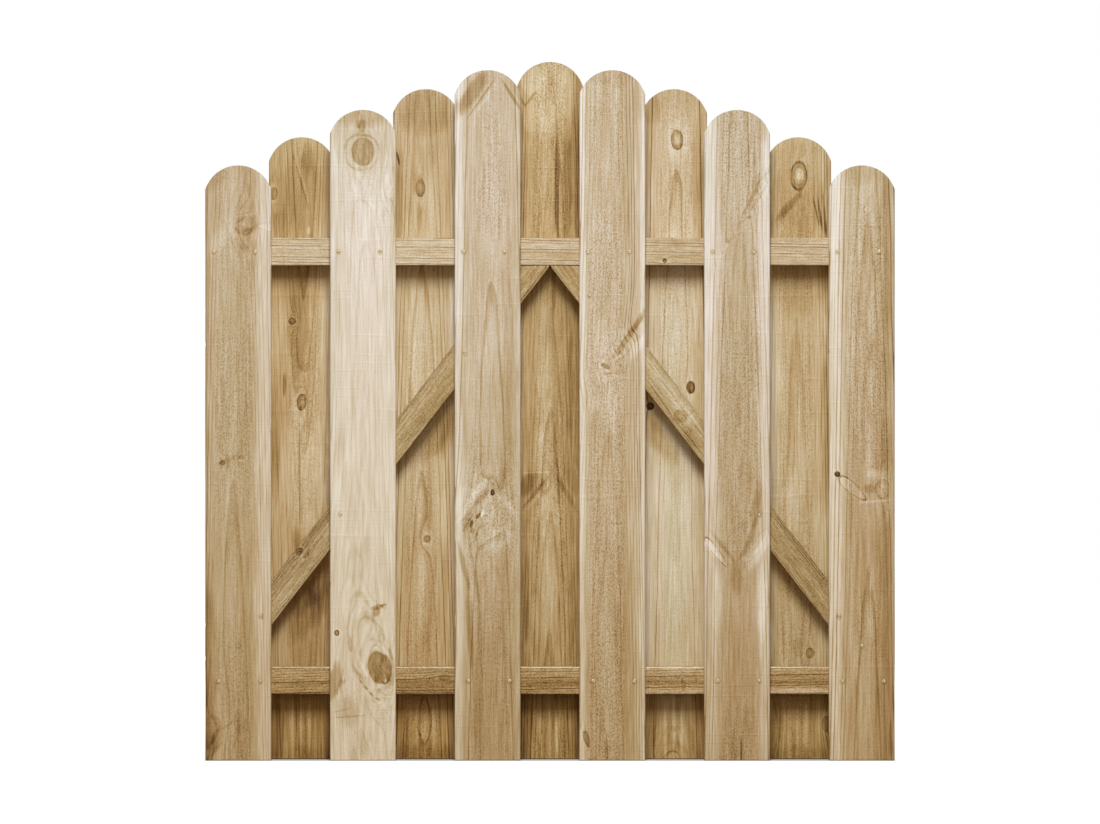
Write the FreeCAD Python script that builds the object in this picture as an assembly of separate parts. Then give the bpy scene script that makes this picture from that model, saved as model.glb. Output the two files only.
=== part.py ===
import FreeCAD, Part
import math
import os

from FreeCAD import Vector

# Arched garden gate leaf, in millimetres: upright round-topped boards nailed to both faces of a braced
# frame of two rails. The boards of the back face stand behind the gaps of the front face.
# +Z is up, the front looks along -Y, and the origin is at the middle of the foot of the leaf.

# Boards
front_board_count = 6
board_width = 95.0
board_thickness = 16.0
board_gap = 83.0
board_arris_radius = 2.0
top_shoulder = 2.5
centre_height = 1000.0
side_height = 850.0
arch_exponent = 1.47

# Rails and braces
frame_depth = 40.0
rail_height = 40.0
rail_end_inset = 2.5
lower_rail_z = 114.0
upper_rail_drop = 123.0
brace_width = 40.0
brace_tip_gap = 2.0
brace_tip_overrun = 1.0
brace_toe_trim = 4.0
frame_arris_radius = 2.0

# Nails
nail_head_diameter = 5.6
nail_head_thickness = 1.0
nail_shank_diameter = 2.5
nail_point_length = 4.0
nail_point_cover = 11.0
nail_hole_clearance = 0.1
nail_edge_inset = 18.0
upper_pair_shift = -5.0
lower_pair_shift = 2.0
brace_nail_inset = 15.0

# Sizes that follow
leaf_width = front_board_count * board_width + (front_board_count - 1) * board_gap
board_pitch = board_width + board_gap
leaf_depth = frame_depth + 2 * board_thickness
outer_board_x = (leaf_width - board_width) / 2
frame_front_y = -frame_depth / 2
rail_half_length = leaf_width / 2 - rail_end_inset
upper_rail_z = side_height - upper_rail_drop
brace_top_z = upper_rail_z - rail_height / 2
brace_foot_z = lower_rail_z + rail_height / 2
brace_rise = brace_top_z - brace_foot_z
board_top_radius = board_width / 2 + top_shoulder
nail_length = board_thickness + frame_depth - nail_point_cover

# The brace runs from a tip just past the middle of the upper rail to a toe just past the end of the lower
# rail, and both are trimmed. Its angle to the rails makes a bar of its width fit between those two points.
brace_reach = rail_half_length + brace_toe_trim + brace_tip_overrun
brace_angle = math.atan2(brace_rise, brace_reach) + math.asin(brace_width / math.hypot(brace_rise, brace_reach))
brace_slope = math.tan(brace_angle)
brace_plumb_width = brace_width / math.cos(brace_angle)

# How far a cutting block reaches past the piece that it cuts
cut_margin = 5.0


def board_height(centre_x):
    """Height of a board on the arch, by its distance from the middle of the leaf."""
    share = abs(centre_x) / outer_board_x
    return centre_height - (centre_height - side_height) * share ** arch_exponent


def brace_middle_z(x):
    """Height of a brace's middle line at a distance x from the middle of the leaf."""
    return brace_top_z - brace_slope * (abs(x) + brace_tip_overrun) + brace_plumb_width / 2


def eased_bar(size, long_axis, arris_radius):
    """A bar in the first octant with the four edges along its long axis rounded over."""
    bar = Part.makeBox(size.x, size.y, size.z)
    long_edges = []
    for edge in bar.Edges:
        direction = edge.tangentAt(edge.FirstParameter)
        if abs(direction.dot(long_axis)) > 0.99:
            long_edges.append(edge)
    return bar.makeFillet(arris_radius, long_edges)


def block(low, high):
    """A plain box between two corners."""
    size = high - low
    return Part.makeBox(size.x, size.y, size.z, low)


def round_top_block(centre_x, height, front_y):
    """A block wider than a board, with the round top that the board is sawn to."""
    centre_z = height - board_top_radius
    left = centre_x - board_top_radius
    right = centre_x + board_top_radius
    start_y = front_y - cut_margin
    foot_left = Vector(left, start_y, -cut_margin)
    foot_right = Vector(right, start_y, -cut_margin)
    spring_right = Vector(right, start_y, centre_z)
    apex = Vector(centre_x, start_y, height)
    spring_left = Vector(left, start_y, centre_z)
    outline = Part.Wire([
        Part.makeLine(foot_left, foot_right),
        Part.makeLine(foot_right, spring_right),
        Part.Arc(spring_right, apex, spring_left).toShape(),
        Part.makeLine(spring_left, foot_left),
    ])
    return Part.Face(outline).extrude(Vector(0, board_thickness + 2 * cut_margin, 0))


def make_board(centre_x, front_y):
    """An upright board with eased edges, sawn square at the foot and round at the top."""
    height = board_height(centre_x)
    board = eased_bar(Vector(board_width, board_thickness, height), Vector(0, 0, 1), board_arris_radius)
    board.translate(Vector(centre_x - board_width / 2, front_y, 0))
    return board.common(round_top_block(centre_x, height, front_y))


def make_rail(centre_z):
    """A level rail, a little shorter than the leaf is wide."""
    size = Vector(2 * rail_half_length, frame_depth, rail_height)
    rail = eased_bar(size, Vector(1, 0, 0), frame_arris_radius)
    rail.translate(Vector(-rail_half_length, frame_front_y, centre_z - rail_height / 2))
    return rail


def make_brace(side):
    """A brace on the left (side -1) or the right (side 1), cut level between the rails."""
    length = math.hypot(brace_rise, brace_reach) + 2 * brace_plumb_width
    brace = eased_bar(Vector(length, frame_depth, brace_width), Vector(1, 0, 0), frame_arris_radius)
    brace.translate(Vector(-brace_plumb_width, frame_front_y, 0))
    brace.rotate(Vector(0, 0, 0), Vector(0, 1, 0), math.degrees(brace_angle))
    brace.translate(Vector(-brace_tip_overrun, 0, brace_top_z))
    room = block(
        Vector(brace_tip_gap / 2, frame_front_y - cut_margin, brace_foot_z),
        Vector(rail_half_length, -frame_front_y + cut_margin, brace_top_z),
    )
    brace = brace.common(room)
    if side < 0:
        brace = brace.mirror(Vector(0, 0, 0), Vector(1, 0, 0))
    return brace


def nail_profile_solid(clearance, above_head):
    """A nail with its head's top at the origin and its point along +Y, grown by a clearance."""
    head_radius = nail_head_diameter / 2 + clearance
    shank_radius = nail_shank_diameter / 2 + clearance
    outline = [
        Vector(0, -above_head, 0),
        Vector(head_radius, -above_head, 0),
        Vector(head_radius, nail_head_thickness, 0),
        Vector(shank_radius, nail_head_thickness, 0),
        Vector(shank_radius, nail_length - nail_point_length, 0),
        Vector(0, nail_length + clearance, 0),
    ]
    face = Part.Face(Part.makePolygon(outline + outline[:1]))
    return face.revolve(Vector(0, 0, 0), Vector(0, 1, 0), 360)


def placed(shape, x, z, facing):
    """A nail or its hole, driven from the front (facing -1) or from the back (facing 1)."""
    copy = shape.copy()
    if facing > 0:
        copy.rotate(Vector(0, 0, 0), Vector(0, 0, 1), 180)
    copy.translate(Vector(x, facing * leaf_depth / 2, z))
    return copy


def rail_nail_places(centre_x):
    """The rail nails of a board: a pair on each rail, as (rail name, x, z)."""
    half_pair = board_width / 2 - nail_edge_inset
    places = []
    for rail, centre_z, shift in (
        ("upper_rail", upper_rail_z, upper_pair_shift),
        ("lower_rail", lower_rail_z, lower_pair_shift),
    ):
        places.append((rail, centre_x + shift - half_pair, centre_z))
        places.append((rail, centre_x + shift + half_pair, centre_z))
    return places


def brace_nail_places(xs):
    """Nails on the middle line of a brace at the given x, as (brace name, x, z)."""
    places = []
    for x in xs:
        brace = "left_brace" if x < 0 else "right_brace"
        places.append((brace, x, brace_middle_z(x)))
    return places


def front_brace_nail_xs(number, centre_x):
    """Where the brace nails of a front board stand: near one edge, and on the outer boards the middle too."""
    edge_offset = board_width / 2 - brace_nail_inset
    if number == 1:
        return [centre_x + edge_offset, centre_x]
    if number == front_board_count:
        return [centre_x - edge_offset, centre_x]
    nearer_edge = 1 if centre_x > board_pitch else -1
    return [centre_x + nearer_edge * edge_offset]


def back_brace_nail_xs(centre_x):
    """A back board has one brace nail on its middle line, and the middle board, over the tips, has none."""
    if abs(centre_x) < board_pitch / 2:
        return []
    return [centre_x]


# Wood pieces, and the nails that join them
wood = {
    "upper_rail": make_rail(upper_rail_z),
    "lower_rail": make_rail(lower_rail_z),
    "left_brace": make_brace(-1),
    "right_brace": make_brace(1),
}
holes = {name: [] for name in wood}
nails = {}
nail = nail_profile_solid(0.0, 0.0)
nail_hole = nail_profile_solid(nail_hole_clearance, cut_margin)


def add_board(name, centre_x, facing, brace_xs):
    """Add a board on the front (facing -1) or back (facing 1) face, with its nails and their holes."""
    front_y = -leaf_depth / 2 if facing < 0 else frame_depth / 2
    wood[name] = make_board(centre_x, front_y)
    holes[name] = []
    nails[name + "_nails"] = []
    for carrier, x, z in rail_nail_places(centre_x) + brace_nail_places(brace_xs):
        hole = placed(nail_hole, x, z, facing)
        holes[name].append(hole)
        holes[carrier].append(hole)
        nails[name + "_nails"].append(placed(nail, x, z, facing))


for number in range(1, front_board_count + 1):
    board_x = -outer_board_x + (number - 1) * board_pitch
    add_board("front_board_%d" % number, board_x, -1, front_brace_nail_xs(number, board_x))

for number in range(1, front_board_count):
    board_x = -outer_board_x + (number - 0.5) * board_pitch
    add_board("back_board_%d" % number, board_x, 1, back_brace_nail_xs(board_x))

# Write one file for each piece
os.makedirs("parts", exist_ok=True)
for name, piece in wood.items():
    drilled = piece.cut(Part.makeCompound(holes[name]))
    drilled.Solids[0].exportStep("parts/" + name + ".step")
for name, group in nails.items():
    Part.makeCompound(group).exportStep("parts/" + name + ".step")

print("leaf %.1f wide, %.1f high, %.1f deep" % (leaf_width, centre_height, leaf_depth))
print("brace angle %.2f degrees, nail length %.1f" % (math.degrees(brace_angle), nail_length))
print("%d wood pieces, %d nails" % (len(wood), sum(len(group) for group in nails.values())))
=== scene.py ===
# %% [markdown]
# # A braced garden gate leaf
# The real leaf is made of planed, pressure-treated pine: round-topped boards nailed to both faces of two
# rails and two braces. The frame holds every piece at its true size, so this lesson only gives the pieces
# their surface: worn edges, growth rings, knots, splits and nail heads. Nothing is moved or resized.

# %% Load the frame
import math
from dataclasses import dataclass
from functools import partialmethod

import bpy
import numpy as np
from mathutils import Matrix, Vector


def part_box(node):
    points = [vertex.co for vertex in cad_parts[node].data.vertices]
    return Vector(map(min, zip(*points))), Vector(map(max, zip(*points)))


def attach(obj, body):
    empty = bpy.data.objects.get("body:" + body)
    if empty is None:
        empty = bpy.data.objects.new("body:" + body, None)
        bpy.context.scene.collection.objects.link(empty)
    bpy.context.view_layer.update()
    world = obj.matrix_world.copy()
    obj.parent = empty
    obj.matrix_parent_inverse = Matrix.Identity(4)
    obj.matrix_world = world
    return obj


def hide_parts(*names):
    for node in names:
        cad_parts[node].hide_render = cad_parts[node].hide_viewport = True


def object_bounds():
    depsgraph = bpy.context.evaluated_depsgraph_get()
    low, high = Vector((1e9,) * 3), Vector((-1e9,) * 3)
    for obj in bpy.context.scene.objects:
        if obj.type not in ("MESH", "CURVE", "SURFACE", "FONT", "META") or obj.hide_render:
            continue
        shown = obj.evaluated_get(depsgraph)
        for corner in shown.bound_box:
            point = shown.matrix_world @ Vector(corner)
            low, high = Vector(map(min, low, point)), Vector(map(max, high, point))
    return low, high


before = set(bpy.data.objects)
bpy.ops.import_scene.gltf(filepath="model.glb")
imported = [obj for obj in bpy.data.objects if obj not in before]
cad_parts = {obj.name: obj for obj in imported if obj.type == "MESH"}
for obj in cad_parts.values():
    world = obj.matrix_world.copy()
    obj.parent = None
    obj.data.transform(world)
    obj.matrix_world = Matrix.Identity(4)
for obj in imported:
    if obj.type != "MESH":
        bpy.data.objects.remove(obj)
cad_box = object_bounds()
MM = 0.001
print("frame:", len(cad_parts), "nodes, leaf", [round(x, 3) for x in cad_box[1] - cad_box[0]], "m")

# %% [markdown]
# ## A short hand for node trees
# Wood needs many small sums of noise, so the trees are written as formulas. Each call below adds one node,
# fills its inputs with numbers or with other sockets, and hands back its output. A shader group is made the
# same way: its inputs are named once, and every material then places it with its own values.


# %% Graph helper
class Graph:
    """A node tree with one short call for each kind of node."""

    def __init__(self, tree):
        self.tree = tree

    def fill(self, socket, value):
        """Link a socket into this input, or set a plain value on it."""
        if isinstance(value, bpy.types.NodeSocket):
            self.tree.links.new(value, socket)
        else:
            socket.default_value = value

    def add(self, kind, fields, output=0, **settings):
        """Add a node, fill its inputs and return one of its outputs."""
        node = self.tree.nodes.new(kind)
        for name, value in settings.items():
            setattr(node, name, value)
        for socket, value in fields.items():
            self.fill(node.inputs[socket], value)
        return node.outputs[output]

    def math(self, operation, a, b=0.0, c=0.0):
        """One sum on numbers."""
        return self.add("ShaderNodeMath", {0: a, 1: b, 2: c}, operation=operation)

    plus = partialmethod(math, "ADD")
    minus = partialmethod(math, "SUBTRACT")
    times = partialmethod(math, "MULTIPLY")
    times_plus = partialmethod(math, "MULTIPLY_ADD")
    over = partialmethod(math, "DIVIDE")
    larger = partialmethod(math, "MAXIMUM")
    size = partialmethod(math, "ABSOLUTE")

    def vector(self, operation, a, b=(0.0, 0.0, 0.0)):
        """One sum on vectors; a dot product gives a number."""
        output = "Value" if operation == "DOT_PRODUCT" else "Vector"
        return self.add("ShaderNodeVectorMath", {0: a, 1: b}, output, operation=operation)

    def noise(self, vector, scale, detail=2.0, roughness=0.5):
        """Soft noise from 0 to 1, with its own number of cells per metre along each axis."""
        cells = self.vector("MULTIPLY", vector, scale)
        fields = {"Vector": cells, "Scale": 1.0, "Detail": detail, "Roughness": roughness}
        return self.add("ShaderNodeTexNoise", fields)

    def swing(self, *noise):
        """The same noise about 0 instead of a half."""
        return self.minus(self.noise(*noise), 0.5)

    def smooth(self, value, start, end, low=0.0, high=1.0):
        """Ease from low to high as value goes from start to end."""
        fields = {0: value, 1: start, 2: end, 3: low, 4: high}
        return self.add("ShaderNodeMapRange", fields, interpolation_type="SMOOTHSTEP")

    def split(self, vector):
        """The three numbers of a vector."""
        return self.add("ShaderNodeSeparateXYZ", {0: vector}).node.outputs

    def join(self, x, y, z):
        """A vector from three numbers."""
        return self.add("ShaderNodeCombineXYZ", {0: x, 1: y, 2: z})

    def seeded(self, vector, seed):
        """A vector moved by a seed, so that each stick has noise of its own."""
        return self.vector("ADD", vector, self.join(seed, seed, seed))

    def turn(self, vector, angle):
        """A vector turned about the depth axis."""
        fields = {"Vector": vector, "Angle": angle}
        return self.add("ShaderNodeVectorRotate", fields, rotation_type="Y_AXIS")

    def place(self, name, fields):
        """Place a shader group and return its outputs."""
        return self.add("ShaderNodeGroup", fields, node_tree=bpy.data.node_groups[name]).node.outputs


def new_group(name, inputs, outputs):
    """Start a shader group. Inputs are {name: default}; a tuple default makes a vector socket."""
    tree = bpy.data.node_groups.new(name, "ShaderNodeTree")
    for label, default in inputs.items():
        kind = "NodeSocketVector" if isinstance(default, tuple) else "NodeSocketFloat"
        tree.interface.new_socket(name=label, in_out="INPUT", socket_type=kind).default_value = default
    for label, kind in outputs.items():
        tree.interface.new_socket(name=label, in_out="OUTPUT", socket_type="NodeSocket" + kind)
    given = tree.nodes.new("NodeGroupInput").outputs
    result = tree.nodes.new("NodeGroupOutput").inputs
    return Graph(tree), given, result


def new_material(name):
    """Start a material with nodes; returns it with its graph and its main shader."""
    material = bpy.data.materials.new(name)
    material.use_nodes = True
    return material, Graph(material.node_tree), material.node_tree.nodes["Principled BSDF"]


ORIGIN = (0.0, 0.0, 0.0)
print("graph helper ready")

# %% [markdown]
# ## Timber coordinates
# Grain follows the stick it was sawn from. This group turns a point of the object into the stick's own three
# numbers: across the stick, through its depth and along its length. The grain groups then work alike on
# upright boards, level rails and sloping braces, and the pattern runs through the solid from face to end.

# %% Group: timber coordinates
graph, given, result = new_group(
    "Timber Coordinates",
    {"Position": ORIGIN, "Origin": ORIGIN, "Across": (1.0, 0.0, 0.0), "Along": (0.0, 0.0, 1.0)},
    {"Vector": "Vector"},
)
offset = graph.vector("SUBTRACT", given["Position"], given["Origin"])
across = graph.vector("DOT_PRODUCT", offset, given["Across"])
depth = graph.vector("DOT_PRODUCT", offset, (0.0, 1.0, 0.0))
along = graph.vector("DOT_PRODUCT", offset, given["Along"])
graph.fill(result["Vector"], graph.join(across, depth, along))
print(graph.tree.name, "group:", len(graph.tree.nodes), "nodes")

# %% [markdown]
# ## Knots
# A knot is a branch that the saw cut through. On the face it is a darker oval, often with a paler heart and a
# broken dark outline, and the grain parts and closes round it. The group does three things. It darkens the
# oval and lightens a halo round it. It squeezes the across coordinate towards the knot's middle and lifts the
# depth coordinate, so that the growth rings drawn from them later flow round and some close into eyes. And it
# says how near the knot is, because ring lines gather beside a knot and stop on it. Lean and taper make the
# long slanting spikes of branches that were sawn lengthwise; a knot without a core is only a swirl of grain.

# %% Group: knot
KNOT_EDGE_CELLS = (45.0, 45.0, 30.0)
KNOT_GRAIN_CELLS = (420.0, 420.0, 110.0)
OUTLINE_CELLS = (60.0, 60.0, 45.0)
KNOT_FLOW_CELLS = (24.0, 24.0, 12.0)
KNOT_RING_COUNT = 3.0
NARROWEST_WAIST = 0.3
FULL_SQUEEZE = -0.7
graph, given, result = new_group(
    "Knot",
    {"Vector": ORIGIN, "Tone": 0.0, "Near": 0.0, "Across": 0.0, "Up": 0.0, "Width": 0.02, "Length": 0.03,
     "Lean": 0.0, "Taper": 0.0, "Core": 0.14, "Heart": 0.3, "Outline": 0.12, "Rings": 0.2, "Halo": 0.03,
     "Swell": 0.006},
    {"Vector": "Vector", "Tone": "Float", "Near": "Float"},
)
centre = graph.join(given["Across"], 0.0, given["Up"])
local = graph.turn(graph.vector("SUBTRACT", given["Vector"], centre), graph.times(given["Lean"], -1.0))
x, y, z = graph.split(local)
near_z = graph.over(graph.times(z, 2.0), given["Length"])
waist = graph.minus(1.0, graph.times(given["Taper"], near_z))
half_width = graph.times(given["Width"], graph.larger(waist, NARROWEST_WAIST))
near_x = graph.over(graph.times(x, 2.0), half_width)
square_x = graph.times(near_x, near_x)
square_z = graph.times(near_z, near_z)
uneven = graph.smooth(graph.noise(given["Vector"], KNOT_EDGE_CELLS, 3.0), 0.25, 0.75, 0.92, 1.08)
reach = graph.times(graph.math("SQRT", graph.plus(square_x, square_z)), uneven)

# The oval, its outline, its own rings and its halo
grain = graph.smooth(graph.noise(local, KNOT_GRAIN_CELLS, 3.0, 0.6), 0.3, 0.7, 0.8, 1.2)
inside = graph.smooth(reach, 1.04, 0.92)
heart = graph.times(graph.smooth(reach, 0.95, 0.15), given["Heart"])
core = graph.times(graph.times(inside, graph.minus(1.1, heart)), grain)
outline = graph.times(graph.smooth(reach, 0.84, 0.98), graph.smooth(reach, 1.14, 1.01))
broken = graph.smooth(graph.noise(given["Vector"], OUTLINE_CELLS, 2.0), 0.35, 0.65, 0.2, 1.3)
outline = graph.times(outline, broken)
ring_line = graph.math("COSINE", graph.times(reach, KNOT_RING_COUNT * math.tau))
ring_line = graph.times(ring_line, graph.smooth(reach, 1.5, 0.85))
halo = graph.times(graph.smooth(reach, 1.02, 1.22), graph.smooth(reach, 2.6, 1.25))
darker = graph.times_plus(outline, given["Outline"], graph.times(core, given["Core"]))
darker = graph.times_plus(ring_line, graph.times(given["Rings"], given["Outline"]), darker)
darker = graph.minus(darker, graph.times(halo, given["Halo"]))
graph.fill(result["Tone"], graph.minus(given["Tone"], darker))

# The grain that parts round it
spread = graph.times_plus(square_z, 0.16, graph.times_plus(square_x, 0.55, 1.0))
flow = graph.math("POWER", spread, -1.5)
uneven_flow = graph.smooth(graph.noise(given["Vector"], KNOT_FLOW_CELLS, 1.0), 0.3, 0.7, 0.88, 1.12)
squeeze = graph.times(flow, graph.smooth(given["Swell"], 0.0, 0.006, 0.0, FULL_SQUEEZE))
squeezed = graph.times(x, graph.plus(squeeze, 1.0))
lift = graph.times(graph.times(flow, uneven_flow), given["Swell"])
back_in = graph.turn(graph.join(squeezed, graph.minus(y, lift), z), given["Lean"])
graph.fill(result["Vector"], graph.vector("ADD", back_in, centre))

# How much clearer or fainter the rings are near it
gather = graph.times(flow, graph.smooth(given["Swell"], 0.002, 0.009, 0.0, 0.5))
bare = graph.times(inside, graph.smooth(given["Core"], 0.0, 0.03))
gather = graph.minus(gather, graph.times(bare, 4.0))
graph.fill(result["Near"], graph.plus(gather, given["Near"]))
print(graph.tree.name, "group:", len(graph.tree.nodes), "nodes")

# %% [markdown]
# ## Stains, resin streaks, cracks and painted shade
# These lie on the grain without bending it: resin that ran along the fibres, a drying crack, a bruise, a pale
# fleck, a darker foot. The same group also paints shade and light. It paints shade under the rails and braces
# and beside the front boards, light on edges that lie in that shade, and a highlight along the lower rail's
# top edge. One soft oval serves for all of them. A long thin one is a crack, a wide soft one is a stain or
# painted shade, and a negative darkness makes it paler than the wood. They fade out below the front face, so
# that a mark on the front doesn't show on the back of the stick.

# %% Group: stain and shade
STAIN_AND_SHADE_EDGE_CELLS = (140.0, 140.0, 30.0)
STAIN_AND_SHADE_DEPTH = 12.0 * MM
graph, given, result = new_group(
    "Stain And Shade",
    {"Vector": ORIGIN, "Tone": 0.0, "Across": 0.0, "Up": 0.0, "Width": 0.01, "Length": 0.05, "Lean": 0.0,
     "Dark": 0.1, "Soft": 0.6},
    {"Tone": "Float"},
)
centre = graph.join(given["Across"], 0.0, given["Up"])
local = graph.turn(graph.vector("SUBTRACT", given["Vector"], centre), graph.times(given["Lean"], -1.0))
x, y, z = graph.split(local)
near_x = graph.over(graph.times(x, 2.0), given["Width"])
near_z = graph.over(graph.times(z, 2.0), given["Length"])
reach = graph.times_plus(near_x, near_x, graph.times(near_z, near_z))
uneven = graph.smooth(graph.noise(given["Vector"], STAIN_AND_SHADE_EDGE_CELLS, 3.0), 0.25, 0.75, 0.6, 1.5)
mask = graph.smooth(graph.times(reach, uneven), 1.1, graph.minus(1.05, given["Soft"]))
mask = graph.times(mask, graph.smooth(y, STAIN_AND_SHADE_DEPTH, STAIN_AND_SHADE_DEPTH / 2))
graph.fill(result["Tone"], graph.minus(given["Tone"], graph.times(mask, given["Dark"])))
print(graph.tree.name, "group:", len(graph.tree.nodes), "nodes")

# %% [markdown]
# ## Growth rings
# Each year a pine adds a pale ring of early wood and a thin darker ring of late wood round its pith. A board
# is a flat slice of those nested cones, so the rings are measured as the distance from a pith line behind
# the board. Near the edges of the board they stand as close parallel lines, and in the middle they open into
# tall, fainter arches. Good and bad years differ, so the rings are unevenly wide and each has its own
# darkness; a slow wander and a small wobble keep the lines from looking ruled. Broad bands of tone, a slight
# shift of hue and the zones where the planer tears the fibre follow the same rings.

# %% Group: growth rings
WANDER_CELLS = (8.0, 8.0, 1.8)
WOBBLE_CELLS = (90.0, 90.0, 10.0)
RAGGED_CELLS = (300.0, 300.0, 60.0)
WOBBLE_SIZE = 1.3 * MM
RAGGED_SIZE = 0.5 * MM
GOOD_YEAR_CELLS = (130.0, 1.0, 0.3)
GOOD_YEAR_SHARE = 1.4
BAND_CELLS = (48.0, 1.0, 1.2)
TORN_CELLS = (60.0, 5.0, 3.0)
HUE_CELLS = (90.0, 3.0, 1.0)
graph, given, result = new_group(
    "Growth Rings",
    {"Vector": ORIGIN, "Near Knots": 0.0, "Pith Across": 0.0, "Pith Depth": 0.06, "Ring Width": 0.003,
     "Late Start": 0.6, "Taper": 0.006, "Wander": 0.004, "Wobble": 1.0, "Seed": 0.0},
    {"Late Wood": "Float", "Bands": "Float", "Torn Zones": "Float", "Hue": "Float"},
)
shifted = graph.seeded(given["Vector"], given["Seed"])
u, v, w = graph.split(given["Vector"])
from_pith_u = graph.minus(u, given["Pith Across"])
from_pith_v = graph.minus(v, given["Pith Depth"])
square_v = graph.times(from_pith_v, from_pith_v)
radius = graph.math("SQRT", graph.times_plus(from_pith_u, from_pith_u, square_v))
grown = graph.times_plus(w, given["Taper"], radius)
grown = graph.times_plus(graph.swing(shifted, WANDER_CELLS, 2.0), given["Wander"], grown)
wobble = graph.times(graph.swing(shifted, WOBBLE_CELLS, 3.0), WOBBLE_SIZE)
wobble = graph.times_plus(graph.swing(shifted, RAGGED_CELLS, 2.0), RAGGED_SIZE, wobble)
grown = graph.times_plus(wobble, given["Wobble"], grown)
ring_line = graph.join(grown, given["Seed"], w)

# The late wood of each year
years = graph.over(grown, given["Ring Width"])
years = graph.times_plus(graph.swing(ring_line, GOOD_YEAR_CELLS, 1.0), GOOD_YEAR_SHARE, years)
year = graph.math("FLOOR", years)
season = graph.minus(years, year)
number = graph.plus(year, given["Seed"])
own = graph.add("ShaderNodeTexWhiteNoise", {"W": number}, noise_dimensions="1D")
weight = graph.smooth(own, 0.1, 1.0, 0.1, 1.0)
late = graph.smooth(season, given["Late Start"], 0.93)
late = graph.times(late, graph.smooth(season, 1.0, 0.95))
facing = graph.over(graph.size(from_pith_v), radius)
flat_sawn = graph.smooth(facing, 0.78, 0.97, 1.0, 0.45)
clear = graph.larger(flat_sawn, graph.math("MINIMUM", given["Near Knots"], 1.0))
clear = graph.times(clear, graph.smooth(given["Near Knots"], -1.5, 0.0))
graph.fill(result["Late Wood"], graph.times(graph.times(late, weight), clear))

# What else follows the rings
graph.fill(result["Bands"], graph.swing(ring_line, BAND_CELLS, 5.0, 0.62))
zones = graph.smooth(graph.noise(ring_line, TORN_CELLS, 2.0), 0.4, 0.6, 0.3, 1.0)
graph.fill(result["Torn Zones"], graph.times(zones, graph.smooth(facing, 0.84, 0.95)))
graph.fill(result["Hue"], graph.swing(ring_line, HUE_CELLS, 2.0))
print(graph.tree.name, "group:", len(graph.tree.nodes), "nodes")

# %% [markdown]
# ## Fibre, fuzz and planer marks
# The planer leaves a matte, slightly torn surface. Long fibres show as fine streaks along the stick, shorter
# on a rough-sawn one; torn fibre shows as a fuzz of small pale and dark specks; the knives leave faint level
# lines; and the wood is a little mottled. Each is one noise, stretched to the right shape, so they cost
# little and hold up close to the camera. The fibre follows the bent grain, the rest the plain stick.

# %% Group: planed surface
FIBRE_CELLS = 400.0
LONG_FIBRE_CELLS = 14.0
ROUGH_FIBRE_CELLS = 46.0
SPECK_CELLS = (640.0, 640.0, 380.0)
MOTTLE_CELLS = (38.0, 38.0, 7.0)
DRIFT_CELLS = (1.5, 1.5, 34.0)
PATCH_CELLS = (14.0, 14.0, 24.0)
graph, given, result = new_group(
    "Planed Surface",
    {"Vector": ORIGIN, "Grain": ORIGIN, "Rough": 0.0, "Seed": 0.0, "Mark Spacing": 0.013},
    {"Fibre": "Float", "Fuzz": "Float", "Marks": "Float", "Mottle": "Float"},
)
shifted = graph.seeded(given["Vector"], given["Seed"])
along_cells = graph.times_plus(given["Rough"], ROUGH_FIBRE_CELLS, LONG_FIBRE_CELLS)
fibre_cells = graph.join(FIBRE_CELLS, FIBRE_CELLS, along_cells)
fibre = graph.swing(graph.seeded(given["Grain"], given["Seed"]), fibre_cells, 2.0, 0.6)
graph.fill(result["Fibre"], fibre)
specks = graph.noise(shifted, SPECK_CELLS, 2.0, 0.6)
pale_specks = graph.smooth(specks, 0.44, 0.3, 0.0, 0.4)
graph.fill(result["Fuzz"], graph.minus(pale_specks, graph.smooth(specks, 0.5, 0.66)))
graph.fill(result["Mottle"], graph.swing(shifted, MOTTLE_CELLS, 3.0, 0.55))
steps = graph.over(graph.split(shifted)["Z"], given["Mark Spacing"])
steps = graph.times_plus(graph.noise(shifted, DRIFT_CELLS, 2.0), 2.6, steps)
phase = graph.minus(graph.math("FRACT", steps), 0.5)
crest = graph.smooth(graph.size(phase), 0.07, 0.0)
trough = graph.smooth(graph.size(graph.plus(phase, 0.13)), 0.09, 0.0, 0.0, 0.6)
patchy = graph.smooth(graph.noise(shifted, PATCH_CELLS, 2.0), 0.42, 0.6)
graph.fill(result["Marks"], graph.times(graph.minus(crest, trough), patchy))
print(graph.tree.name, "group:", len(graph.tree.nodes), "nodes")

# %% [markdown]
# ## Painted shade and damp at the foot
# The group lowers the tone slowly below knee height. This is painted shade that stands in for the light
# falling off towards the ground. Just above the ground, below the lower rail, it lowers the tone faster and
# turns it a warmer brown, with an uneven upper edge that follows the fibres. This band is partly damp wood
# and partly the painted shade of that rail. It paints the wood less warm higher up and warmer lower down, the
# tint of light and shade. It also hands on how warm the wood is at each height.

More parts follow.
